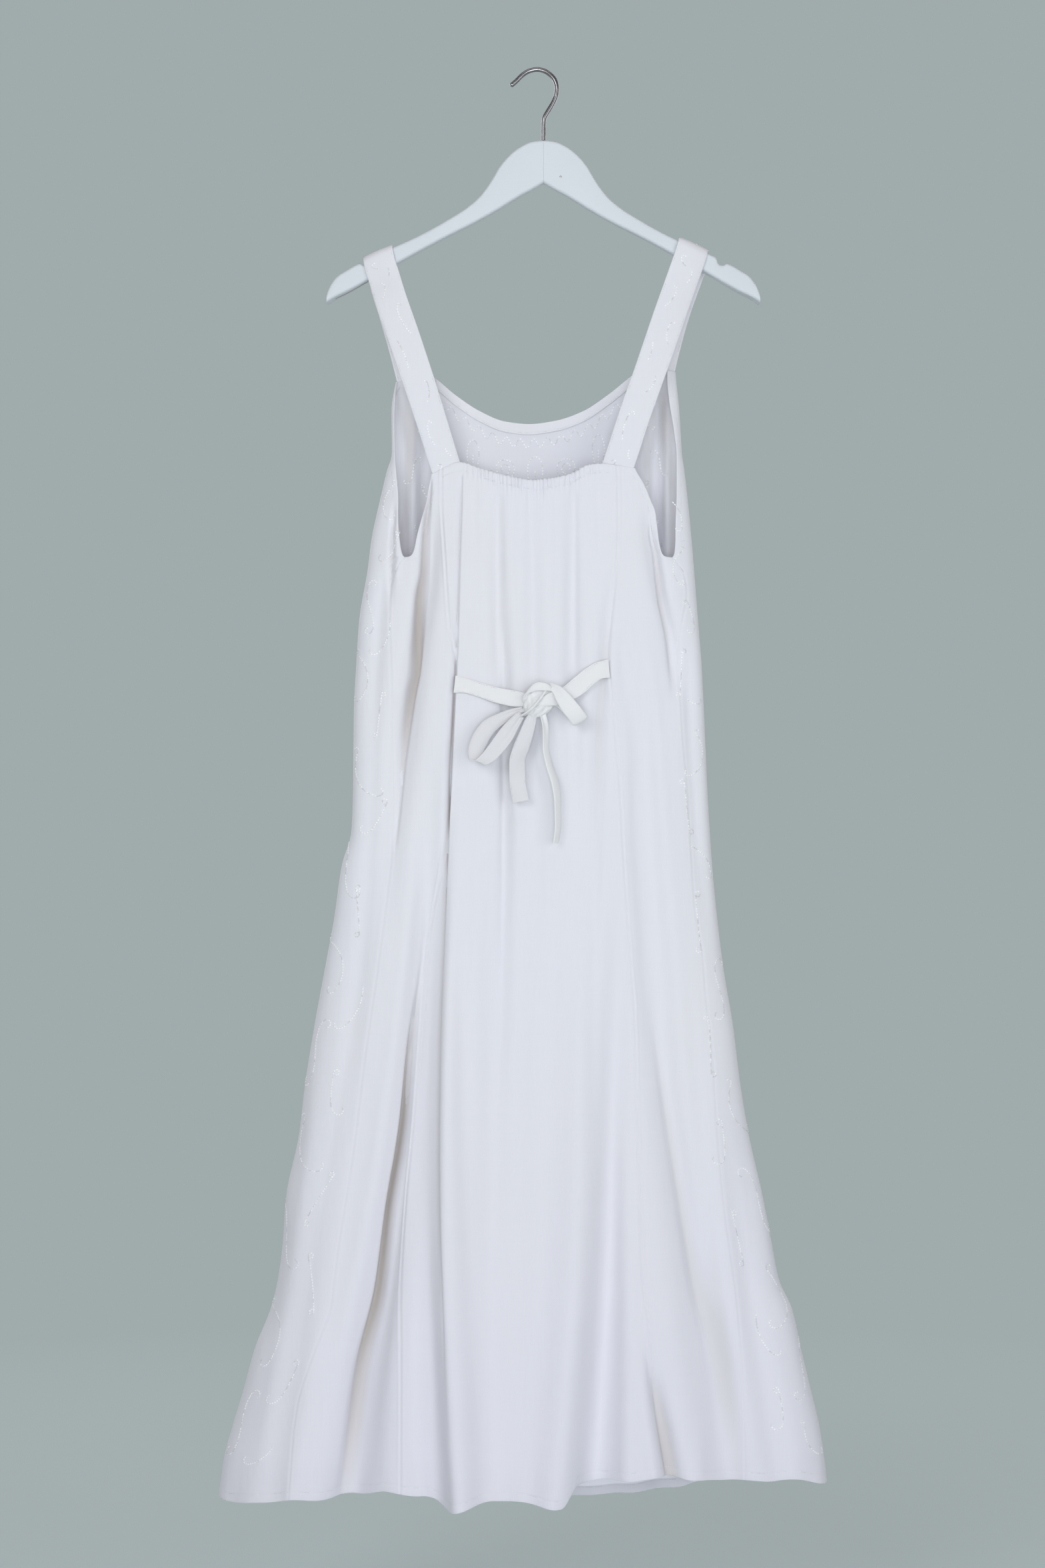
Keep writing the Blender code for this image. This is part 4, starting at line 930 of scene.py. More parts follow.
def away_from(line, points):
    """The distance of every point of a grid from a line of points."""
    nearest = np.full(points.shape[:-1], BEYOND)
    for start, end in zip(line[:-1], line[1:]):
        ahead = end - start
        share = np.clip(((points - start) @ ahead) / (ahead @ ahead), 0, 1)
        nearest = np.minimum(nearest, np.linalg.norm(points - start - share[..., None] * ahead, axis=-1))
    return nearest


def turned(distance, width):
    """1 on a turned edge of the given width, and 0 beyond its stitching."""
    return step((width - distance) / TURN_SOFTNESS + 0.5)


def stitched(distance, width):
    """1 in the groove of the stitching that holds a turned edge of the given width."""
    return bell((distance - width + STITCH_INSET) / GROOVE_WIDTH)


def cloth_panel(name, panel, share, bodice, skirt, cloth, looks, puckered=False):
    """One panel of the dress: thin cloth, thicker where its edges are turned in and stitched."""
    angle, drop, top, hem = panel_grid(panel, share, bodice, skirt)
    points, normals = surface(angle, drop)
    x, _ = body_outline(angle, drop)
    far = np.full_like(x, BEYOND)
    armhole_rows = drop[:, 0] <= ARMHOLE_BOTTOM
    left = away_from(points[armhole_rows, 0], points) if panel.open_left else far
    right = away_from(points[armhole_rows, -1], points) if panel.open_right else far
    neck = far if panel.lowered else drop - top
    side = np.minimum(np.minimum(left, right), neck)
    below = hem - drop
    edge = np.maximum(turned(side, EDGE_TURN), turned(below, HEM_TURN))
    outer = creased(angle, drop)
    # Painted shade: hollow is 1 deep in the creases and folds, where the crepe's colour is darkened and
    # warmed
    plain = np.stack([*body_outline(angle, drop), -drop], axis=-1)
    depth = outer + PAINTED_SHADE_FOLD_SHARE * ((points - plain) * normals).sum(-1)
    hollow = [(way * depth - PAINTED_SHADE_START) / (PAINTED_SHADE_DEPTH - PAINTED_SHADE_START) for way in (-1, 1)]
    hollow = np.clip(hollow, 0, 1).reshape(-1)
    if puckered:
        outer = outer + gathered(x, drop - top + CASING_DEPTH)
    groove = stitched(side, EDGE_TURN) + stitched(below, HEM_TURN)
    rumple = np.exp(-below / HEM_RUMPLE_REACH) * np.sin(x / RUMPLE_LENGTH)
    rumple = rumple * np.sin(x / RUMPLE_SPACING + 1)
    outer = outer + TURN_SWELL * edge - GROOVE_DEPTH * groove + HEM_RUMPLE * rumple
    inner = outer - cloth - edge * (cloth + TURN_LOFT)
    rounding = EDGE_ROUNDING * np.exp(-np.minimum(side, below) / ROUNDING_REACH)
    slots = np.where(edge[:-1, :-1] > 0.5, 0, 1)
    sheet = (points, normals)
    return link(name, shell(name, sheet, outer - rounding, inner + rounding, looks, slots, hollow))


def neck_casing(share, looks):
    """The gathered band of the back neckline, puffed between its two rows of stitching."""
    below = np.array(CASING_LEVELS)[:, None]
    drop = top_drop(BACK_CENTRE, share) + below
    angle = panel_angle(BACK_CENTRE, np.broadcast_to(share, drop.shape), drop)
    x, _ = body_outline(angle, drop)
    wave = gathered(x, below)
    drop = drop - 0.6 * wave * np.exp(-below / 3)
    puff = CASING_PUFF * np.sin(math.pi * np.clip(below / CASING_STITCH, 0, 1)) ** 0.6
    puff = puff - 0.15 * bell((below - CASING_STITCH) / 0.8)
    outer = creased(angle, drop) + wave + puff - 0.5 * np.exp(-below / 0.5)
    inner = np.minimum(-CASING_THICKNESS - 0.5 * wave, outer - 0.9) + 0.4 * np.exp(-below / 0.5)
    return link("neck_casing", shell("neck_casing", surface(angle, drop), outer, inner, looks))


def neck_facing(cloth, looks):
    """The pale band turned to the inside of the front neckline."""
    x = np.linspace(*FACING_SPAN, 181)
    below = np.array(FACING_LEVELS)[:, None]
    drop = smooth(FRONT_NECKLINE, 1, x) + below
    angle = 2 * math.pi - angle_at(np.broadcast_to(x, drop.shape), drop)
    rounding = 0.35 * (np.exp(-below / 0.4) + np.exp(-(FACING_DEPTH - below) / 0.4))
    ripple = 0.16 * np.sin(x / 9) * np.sin(math.pi * below / FACING_DEPTH)
    groove = 0.2 * bell((below - FACING_STITCH) / 0.5)
    outer = creased(angle, drop) - 2 * cloth - 0.2
    inner = outer - 1.0 - ripple + rounding + groove
    sheet = surface(angle, drop)
    return link("neck_facing", shell("neck_facing", sheet, outer - 0.5 * rounding, inner, looks))


def ribbon_surface(rows, place, across):
    """Points and normals of a ribbon at shares of its length and of its width from its middle."""
    curve = numbered(rows)
    place, across = np.broadcast_arrays(np.asarray(place, float), np.asarray(across, float))

    def frame_at(where):
        x, y, drop, width, tilt, turn = values_at(curve, np.clip(where, 0, 1) * (len(rows) - 1))
        tilt, turn = np.radians(tilt), np.radians(turn)
        flat = np.cos(turn)
        side = np.stack([np.cos(tilt) * flat, np.sin(turn), np.sin(tilt) * flat], axis=-1)
        return np.stack([x, y, -drop], axis=-1), side * width[..., None]

    middle, side = frame_at(place)
    ahead, _ = frame_at(place + 0.01)
    behind, _ = frame_at(place - 0.01)
    normal = np.cross(side, ahead - behind)
    normal = normal / np.linalg.norm(normal, axis=-1, keepdims=True)
    return middle + side * across[..., None], normal


def ribbon_shell(name, rows, along, across, thickness, looks, fold):
    """A doubled strip of cloth with rounded edges. fold gives how far it stands off its middle."""
    place = np.linspace(0, 1, along + 1)[:, None]
    share = crowded(across, RIBBON_COLUMNS, RIBBON_COLUMNS)[None, :] - 0.5
    crown = fold(place, share)
    half = thickness / 2 * np.sqrt(np.clip(1 - np.abs(2 * share) ** 12, 0.04, 1))
    return shell(name, ribbon_surface(rows, place, share), crown + half, crown - half, looks)


def strap_fold(place, share):
    """A strap bows a little across, ripples along and dips at its two rows of stitching."""
    groove = bell((np.abs(share) - STRAP_STITCH) / RIBBON_GROOVE)
    ripple = 0.25 * np.sin(17 * place + 5 * share) + 0.15 * np.sin(41 * place - 3 * share)
    return 0.5 * (1 - 4 * share**2) + ripple * (1 - 3 * share**2) - 0.2 * groove


def tie_fold(place, share):
    """A tie twists to and fro and curls along its edges."""
    wave = 0.5 * np.sin(9 * place + 1) * share * 2
    return wave + 0.3 * np.cos(2 * math.pi * share) * np.sin(13 * place) - 0.3 * share**2


def pleated(start, end, depth, pleats=2):
    """A fold with pleats that open out over a share of the length from its start, its end or both."""

    def fold(place, share):
        tight = start * np.exp(-place / PLEAT_REACH) + end * np.exp(-(1 - place) / PLEAT_REACH)
        pleat = np.cos(2 * math.pi * pleats * (share + 0.08))
        hollow = -0.9 * (1 - tight) * (1 - 4 * share**2)
        return depth * tight * pleat + hollow + 0.25 * np.sin(11 * place + 3 * share)

    return fold


# The fold of the left end, which its stitching follows
END_FOLD = pleated(0.8, 0, 1.1)


def ring_mesh(name, rings, looks, sharp):
    """A solid through closed rings of equal length, with a flat face at each end."""
    rings = np.asarray(rings)
    levels, count, _ = rings.shape
    index = np.arange(levels * count).reshape(levels, count)
    after = np.roll(index, -1, axis=1)
    quads = np.stack([index[:-1], after[:-1], after[1:], index[1:]], axis=-1).reshape(-1, 4)
    faces = quads.tolist() + [index[0].tolist(), index[-1].tolist()]
    return solid_mesh(name, rings.reshape(-1, 3), faces, looks, sharp)


def joined(name, meshes):
    """One object that holds several meshes of the same materials."""
    shape = bmesh.new()
    for mesh in meshes:
        shape.from_mesh(mesh)
    whole = bpy.data.meshes.new(name)
    shape.to_mesh(whole)
    shape.free()
    for look in meshes[0].materials:
        whole.materials.append(look)
    for mesh in meshes:
        bpy.data.meshes.remove(mesh)
    whole.set_sharp_from_angle(angle=math.radians(CLOTH_SHARP))
    return link(name, whole)


def knot_core(looks):
    """The soft heart of the knot, with slanting pleats drawn into its surface."""
    level = np.linspace(KNOT_CORE[0][0], KNOT_CORE[-1][0], 40)
    turn = full_turn(72)
    rings = []
    for drop in level:
        middle, half_width, half_depth = map(float, values_at(KNOT_CORE, drop))
        pleat = 0.7 * np.sin(7 * turn + 0.42 * (drop - 640)) + 0.35 * np.sin(13 * turn - 0.3 * drop)
        pleat = pleat * np.clip(half_depth / 8, 0.2, 1)
        x = middle + (half_width - 0.8 + 0.6 * pleat) * np.cos(turn)
        y = KNOT_Y + (half_depth - 0.8 + pleat) * np.sin(turn)
        rings.append(np.stack([x, y, np.full_like(x, -drop)], axis=-1))
    return ring_mesh("knot_core", rings, looks, 75)


def bar_ring(distance, side):
    """A ring of the hanger's bar: a rectangle with round corners, bowed towards the wall."""
    top, bottom = map(float, values_at(HANGER_BAR, distance))
    share = distance / HANGER_HALF_LENGTH
    middle = HANGER_BOW * share**2
    half = (HANGER_THICKNESS + HANGER_FLARE * share**4) / 2
    radius = min(HANGER_ROUNDING, (bottom - top) * 0.4)
    turn = np.radians(np.linspace(0, 90, 6))
    corner = np.stack([1 - np.cos(turn), 1 - np.sin(turn)], axis=-1) * radius
    y = np.concatenate([-half + corner[:, 0], half - corner[::-1, 0]])
    drop = np.concatenate([top + corner[:, 1], top + corner[::-1, 1]])
    y = np.concatenate([y, half - corner[:, 0], -half + corner[::-1, 0]])
    drop = np.concatenate([drop, bottom - corner[:, 1], bottom - corner[::-1, 1]])
    x = np.full_like(y, HANGER_MIDDLE + side * distance)
    return np.stack([x, middle + y, -drop], axis=-1)


def hanger_half(name, side, looks):
    """One half of the bar, with a hairline joint at the middle."""
    even = np.linspace(0.6, HANGER_BAR[-1][0], 120)
    knots = [row[0] for row in HANGER_BAR[1:]]
    rings = [bar_ring(distance, side) for distance in np.unique(np.concatenate([even, knots]))]
    first = rings[0].copy()
    first[:, 0] = HANGER_MIDDLE + side * HANGER_JOINT
    centre = first.mean(axis=0)
    first[:, 1:] = centre[1:] + (first[:, 1:] - centre[1:]) * JOINT_CHAMFER
    return link(name, ring_mesh(name, [first, *rings], looks, 40))


def wire(name, rows, thickness, looks):
    """A round wire along rows of x and drop, with a rounded tip at its end."""
    x, drop = values_at(numbered(rows), np.linspace(0, len(rows) - 1, 150))
    for _ in range(12):
        x[1:-1] = (x[:-2] + 2 * x[1:-1] + x[2:]) / 4
        drop[1:-1] = (drop[:-2] + 2 * drop[1:-1] + drop[2:]) / 4
    middle = np.stack([x, np.zeros_like(x), -drop], axis=-1)
    along = np.gradient(middle, axis=0)
    along = along / np.linalg.norm(along, axis=-1, keepdims=True)
    left = np.array([0.0, 1.0, 0.0])
    across = np.cross(along, left)
    to_tip = np.linalg.norm(middle - middle[-1], axis=-1)
    rounding = 1 - (1 - np.clip(to_tip / HOOK_TIP, 0, 1)) ** 2
    radius = thickness / 2 * np.sqrt(np.clip(rounding, 0.02, 1))
    turn = full_turn(20)
    rings = middle[:, None] + radius[:, None, None] * (
        np.cos(turn)[None, :, None] * left + np.sin(turn)[None, :, None] * across[:, None]
    )
    return link(name, ring_mesh(name, rings, looks, 60))


def seam_allowances(cloth, looks):
    """The cut edges of the cloth, pressed open along the inside of the four long seams."""
    meshes = []
    across = np.array(ALLOWANCE_ACROSS)[None, :]
    down = np.linspace(0, 1, 150)[:, None]
    for seam in SEAMS:
        start = max(seam[0][0] + 3, ALLOWANCE_TOP)
        hem = hem_drop(angle_at(np.array(smooth(seam, 1, HEM_LEVEL)), HEM_LEVEL)) - HEM_TURN - 2
        drop = np.broadcast_to(blend(start, float(hem), down), (down.size, across.size))
        angle = angle_at(smooth(seam, 1, drop) + across, drop)
        outer = creased(angle, drop) - cloth - ALLOWANCE_GAP
        frayed = 0.12 * np.sin(drop * 1.7 + across) * (np.abs(across) > ALLOWANCE_RAW)
        inner = outer - ALLOWANCE_CLOTH + frayed
        meshes.append(shell("allowance", surface(angle, drop), outer, inner, looks))
    return joined("seam_allowances", meshes)


Run = namedtuple("Run", "centres tangents normals")


def stitch_run(points, normals, pitch):
    """Stitches at an even pitch along a line of points."""
    steps = np.linalg.norm(np.diff(points, axis=0), axis=-1)
    run = np.concatenate([[0], np.cumsum(steps)])
    at = np.arange(0.5 * pitch, run[-1], pitch)

    def along(values, where):
        return np.stack([np.interp(where, run, values[:, axis]) for axis in range(3)], axis=-1)

    tangents = along(points, at + 0.3 * pitch) - along(points, at - 0.3 * pitch)
    tangents = tangents / np.linalg.norm(tangents, axis=-1, keepdims=True)
    return Run(along(points, at), tangents, along(normals, at))


def stitch_mesh(name, runs, size, rings, sides, looks, sway=0.0):
    """Short rounded stitches as one mesh. size is their length, width and height in millimetres."""
    centres, tangents, normals = (np.concatenate(part) for part in zip(*runs))
    normals = normals - tangents * np.sum(normals * tangents, axis=-1, keepdims=True)
    normals = normals / np.linalg.norm(normals, axis=-1, keepdims=True)
    across = np.cross(normals, tangents)
    swing = sway * np.where(np.arange(len(centres)) % 2, 1, -1)[:, None]
    tangents, across = tangents + across * swing, across - tangents * swing
    length, width, height = size
    at = np.linspace(-1, 1, rings)
    girth = np.sqrt(1 - 0.9 * at**2)
    turn = full_turn(sides) + math.pi / 2
    sideways = (girth[:, None] * np.cos(turn)[None, :] * width / 2)[None, :, :, None]
    upwards = (girth[:, None] * np.sin(turn)[None, :] * height / 2)[None, :, :, None]
    forwards = np.broadcast_to((at * length / 2)[None, :, None, None], (1, rings, sides, 1))
    points = (
        centres[:, None, None]
        + tangents[:, None, None] * forwards
        + across[:, None, None] * sideways
        + normals[:, None, None] * upwards
    )
    count = len(centres)
    index = np.arange(count * rings * sides).reshape(count, rings, sides)
    after = np.roll(index, -1, axis=2)
    quads = np.stack([index[:, :-1], after[:, :-1], after[:, 1:], index[:, 1:]], axis=-1)
    faces = quads.reshape(-1, 4).tolist() + index[:, 0].tolist() + index[:, -1].tolist()
    return link(name, solid_mesh(name, points.reshape(-1, 3), faces, looks, 80))


def stitch_line(angle, drop, lifts, pitch=SEWING_PITCH):
    """Stitches along a line of the cloth, at each of its lifts. Those with a lift below 0 face in."""
    points, normals = surface(angle, drop)
    level = creased(angle, drop)
    return [
        stitch_run(lifted(points, normals, level + lift), normals * (1 if lift > 0 else -1), pitch)
        for lift in lifts
    ]


def curl_line(x, highest, heading, motif, size):
    """A line of embroidery in flat millimetres, by its middle x and the drop of its highest point.

    It is drawn from how sharply it turns at shares of its length, about the heading of its middle.
    It is mirrored where its size is below 0.
    """
    length, turns = MOTIFS[motif]
    flip = -1 if size < 0 else 1
    size = abs(size)
    length = length * size
    count = int(length / CURL_PITCH) + 1
    share = np.linspace(0, 1, count)
    rate = np.interp(share, [row[0] for row in turns], [row[1] for row in turns]) / size
    bend = flip * np.cumsum(np.radians(rate)) * CURL_PITCH
    course = math.radians(heading) + bend - bend[count // 2]
    line = np.stack([np.cumsum(np.cos(course)), np.cumsum(np.sin(course))], axis=-1) * CURL_PITCH
    return line - (line[:, 0].mean() - x, line[:, 1].min() - highest)


def leaf_lines(middle, foot, width, height):
    """A leaf that stands on its point, with a stem up its middle."""
    share = np.linspace(0, 1, 80)
    x = middle + width / 2 * np.sin(2 * math.pi * share) * np.sin(math.pi * share) ** 0.7
    drop = foot - height / 2 * (1 - np.cos(2 * math.pi * share))
    stem = np.stack([np.full(20, middle), foot + 3 - np.linspace(0, 0.72, 20) * height], axis=-1)
    return [np.stack([x, drop], axis=-1), stem]


def spiral_line(middle, foot, radius, mirrored):
    """A spiral on a short stem."""
    turn = np.linspace(0, 2.1 * 2 * math.pi, 90)
    reach = radius * (1 - 0.8 * turn / turn[-1])
    flip = -1 if mirrored else 1
    x = middle - flip * reach * np.cos(turn)
    drop = foot - radius - reach * np.sin(-turn)
    stem_x = np.linspace(middle - flip * radius * 0.9, x[0], 10)
    stem_drop = np.linspace(foot + 6, drop[0], 10)
    return np.stack([np.concatenate([stem_x, x]), np.concatenate([stem_drop, drop])], axis=-1)


def wave_line(start, end, below, height, length):
    """A wavy line that follows the front neckline."""
    x = np.arange(start, end, 0.8)
    drop = smooth(FRONT_NECKLINE, 1, x) + below + height * np.sin(2 * math.pi * x / length)
    return np.stack([x, drop], axis=-1)


def yoke_lines():
    """The embroidered lines of the yoke: its wave, leaves, spirals and scrolls."""
    lines = [wave_line(*YOKE_WAVE)]
    for middle, width in YOKE_LEAVES:
        foot = smooth(FRONT_NECKLINE, 1, middle) + LEAF_DEPTH
        lines += leaf_lines(middle, foot, width, LEAF_HEIGHT)
    lines += [spiral_line(*spiral) for spiral in YOKE_SPIRALS]
    return lines + [curl_line(*scroll) for scroll in YOKE_SCROLLS]


Wrap = namedtuple("Wrap", "levels angle run")


def wrap_of(side):
    """Distances along the cloth from its left (-1) or right (1) outline, positive towards the wall."""
    levels = np.arange(WRAP_TOP, HEM_LEVEL + 1.0, WRAP_STEP)
    offset = np.linspace(*WRAP_ANGLES)
    angle = math.pi + offset if side < 0 else -offset
    points, _ = surface(angle, levels[:, None])
    run = run_lengths(points)
    run = run - np.array([np.interp(0, offset, row) for row in run])[:, None]
    return Wrap(levels, angle, run)


def wrap_angles(wrap, reach, drop):
    """Angles on the body by the distance along the cloth from its outline."""
    levels, angle, run = wrap
    at = np.clip((drop - WRAP_TOP) / WRAP_STEP, 0, len(levels) - 1.001)
    low = at.astype(int)
    found = np.empty_like(reach)
    for level in np.unique(low):
        here = low == level
        upper = np.interp(reach[here], run[level], angle)
        lower = np.interp(reach[here], run[level + 1], angle)
        found[here] = blend(upper, lower, at[here] - level)
    return found


def side_embroidery(side, rows):
    """The scrolls and stems that run down one side of the dress, as stitched lines."""
    wrap = wrap_of(side)
    runs = []
    for scroll in rows:
        line = curl_line(*scroll)
        angle = wrap_angles(wrap, line[:, 0], line[:, 1])
        runs += stitch_line(angle, line[:, 1], [FLOSS_LIFT], STITCH_PITCH)
    return runs


def front_embroidery(lines, cloth):
    """Lines on the front by x and drop: stitches on the right side, and their backs on the inside."""
    shown, backs = [], []
    for line in lines:
        angle = 2 * math.pi - angle_at(line[:, 0], line[:, 1])
        shown += stitch_line(angle, line[:, 1], [FLOSS_LIFT], STITCH_PITCH)
        backs += stitch_line(angle, line[:, 1], [-cloth - 0.2], STITCH_PITCH * 1.15)
    return shown, backs


def strap_embroidery(rows, marks):
    """Small curls scattered down the outside of a strap, by share of its length and millimetres across."""
    middle, _ = ribbon_surface(rows, np.linspace(0, 1, 80), 0.0)
    length = float(np.linalg.norm(np.diff(middle, axis=0), axis=-1).sum())
    _, normal = ribbon_surface(rows, 0.2, 0.0)
    outwards = np.sign(normal[1]) * -1
    runs = []
    for place, across, *mark in marks:
        line = curl_line(0, 0, *mark)
        along = place + (line[:, 1] - line[:, 1].mean()) / length
        width = (across + line[:, 0] - line[:, 0].mean()) / STRAP_WIDTH
        points, normals = ribbon_surface(rows, along, np.clip(width, -STRAP_MARGIN, STRAP_MARGIN))
        lift = strap_fold(along, width) + outwards * (STRAP_CLOTH / 2 + 0.1)
        runs.append(stitch_run(lifted(points, normals, lift), normals * outwards, STITCH_PITCH))
    return runs


def edge_line(panel, left, inset):
    """A line along a panel's armhole, at a distance in from its edge."""
    rows = panel.left if left else panel.right
    corner = np.array([0.0 if left else 1.0])
    top = float(top_drop(panel, corner)[0]) + EDGE_TURN
    drop = np.linspace(top, ARMHOLE_BOTTOM - 2, 120)
    inwards = (1 if left else -1) * (1 if panel.turns else -1)
    edge = edge_angle(rows, drop, inwards) + (2 * math.pi if panel.turns and not left else 0)
    nearer = edge + inwards * ANGLE_STEP
    here, _ = surface(edge, drop)
    there, _ = surface(nearer, drop)
    return edge + inwards * ANGLE_STEP * inset / np.linalg.norm(there - here, axis=-1), drop


def sewing_runs(cloth):
    """Every line of plain machine stitching: hem, armholes, necklines, straps and ties."""
    turned_edge = (MACHINE_LIFT, -2 * cloth - TURN_BACKING)
    angle = np.linspace(0, 2 * math.pi, 1400)
    runs = stitch_line(angle, hem_drop(angle) - HEM_TURN + STITCH_INSET, turned_edge)
    for panel, left in ((FRONT, True), (FRONT, False), (BACK_LEFT, True), (BACK_RIGHT, False)):
        runs += stitch_line(*edge_line(panel, left, EDGE_TURN - STITCH_INSET), turned_edge)
    x = np.linspace(FACING_SPAN[0] + 2, FACING_SPAN[1] - 2, 300)
    drop = smooth(FRONT_NECKLINE, 1, x) + FACING_STITCH
    runs += stitch_line(2 * math.pi - angle_at(x, drop), drop, (0.04, -2 * cloth - 1.22))
    share = np.linspace(0.004, 0.996, 500)
    drop = top_drop(BACK_CENTRE, share) + CASING_STITCH
    angle = panel_angle(BACK_CENTRE, share, drop)
    x, _ = body_outline(angle, drop)
    points, normals = surface(angle, drop)
    lift = creased(angle, drop) + gathered(x, np.full_like(x, CASING_STITCH))
    runs.append(stitch_run(lifted(points, normals, lift + 0.1), normals, SEWING_PITCH))
    for rows, fold, thick, inset in (
        (STRAP_LEFT, strap_fold, STRAP_CLOTH, STRAP_STITCH),
        (STRAP_RIGHT, strap_fold, STRAP_CLOTH, STRAP_STITCH),
        (TIE_LEFT, tie_fold, TIE_CLOTH, TIE_STITCH),
        (TIE_RIGHT, tie_fold, TIE_CLOTH, TIE_STITCH),
        (END_LEFT, END_FOLD, TIE_CLOTH, TIE_STITCH),
    ):
        place = np.linspace(0.01, 0.99, 300)
        for across in (-inset, inset):
            points, normals = ribbon_surface(rows, place, across)
            crown = fold(place, np.full_like(place, across))
            for face in (-1, 1):
                lift = crown + face * (thick / 2 + MACHINE_LIFT)
                runs.append(stitch_run(lifted(points, normals, lift), normals * face, SEWING_PITCH))
    return runs


def dart_runs(cloth):
    """The short bust darts that end on each side of the front, beside the armholes."""
    runs = []
    for (x0, drop0), (x1, drop1) in DARTS:
        x = np.linspace(x0, x1, 40)
        drop = np.linspace(drop0, drop1, 40)
        runs += stitch_line(angle_at(x, drop), drop, (0.05, -cloth - 0.1))
    return runs


class Shade:
    """A socket of a material's nodes. Sums and products of it add their Math nodes."""

    def __init__(self, tree, socket):
        self.tree = tree
        self.socket = socket

    def node(self, kind, settings=None, values=None, output=0):
        """A new node, from its settings and then the values or links of its sockets."""
        made = self.tree.nodes.new(kind)
        for name, value in (settings or {}).items():
            setattr(made, name, value)
        for name, value in (values or {}).items():
            if isinstance(value, Shade):
                self.tree.links.new(value.socket, made.inputs[name])
            else:
                made.inputs[name].default_value = value
        return Shade(self.tree, made.outputs[output])

    def maths(self, operation, first, second=0.0, clamped=False):
        settings = {"operation": operation, "use_clamp": clamped}
        return self.node("ShaderNodeMath", settings, {0: first, 1: second})

    def __add__(self, other):
        return self.maths("ADD", self, other)

    def __sub__(self, other):
        return self.maths("SUBTRACT", self, other)

    def __rsub__(self, other):
        return self.maths("SUBTRACT", other, self)

    def __mul__(self, other):
        return self.maths("MULTIPLY", self, other)

    __radd__ = __add__
    __rmul__ = __mul__

    def sine(self):
        return self.maths("SINE", self)

    def band(self, low, high):
        """0 below low and 1 above high, with a straight rise between them."""
        return self.maths("MULTIPLY", self - low, 1 / (high - low), clamped=True)

    def between(self, rise, fall):
        """1 from the end of one band to the start of the other, and 0 outside both."""
        return self.band(*rise) * (1 - self.band(*fall))

    def part(self, axis):
        return self.node("ShaderNodeSeparateXYZ", None, {0: self}, axis)

    def stretched(self, scale):
        return self.node("ShaderNodeVectorMath", {"operation": "MULTIPLY"}, {0: self, 1: scale})

    def noise(self, scale, detail=2.0, roughness=0.5):
        values = {"Vector": self, "Scale": scale, "Detail": detail, "Roughness": roughness}
        return self.node("ShaderNodeTexNoise", None, values)

    def tinted(self, first, second):
        """A colour between two, by this value."""
        return self.node("ShaderNodeMix", {"data_type": "RGBA"}, {0: self, 6: first, 7: second}, 2)

    def dimmed(self, factor):
        """A colour made darker or lighter all over by a factor."""
        values = {0: self, "Scale": factor}
        return self.node("ShaderNodeVectorMath", {"operation": "SCALE"}, values)


def rgba(colour, factor=1.0):
    """A colour for a socket, made darker or lighter by a factor."""
    return (*(min(1.0, part * factor) for part in colour), 1.0)


def tinged(colour, tinge):
    return rgba([part * factor for part, factor in zip(colour, tinge)])


def start_material(name):
    """A new material, its main shader and the place on the dress, in metres."""
    made = bpy.data.materials.new(name)
    made.use_nodes = True
    tree = made.node_tree
    place = Shade(tree, tree.nodes.new("ShaderNodeTexCoord").outputs["Object"])
    return made, tree.nodes["Principled BSDF"], place


def finish_material(material, shader, colour, roughness, relief, settings):
    """Links what varies over the surface. relief is its height in millimetres."""
    links = material.node_tree.links
    bump = relief.node("ShaderNodeBump", None, {"Strength": 1.0, "Distance": MM, "Height": relief})
    links.new(colour.socket, shader.inputs["Base Color"])
    links.new(roughness.socket, shader.inputs["Roughness"])
    links.new(bump.socket, shader.inputs["Normal"])
    for name, value in settings.items():
        shader.inputs[name].default_value = value
    return material


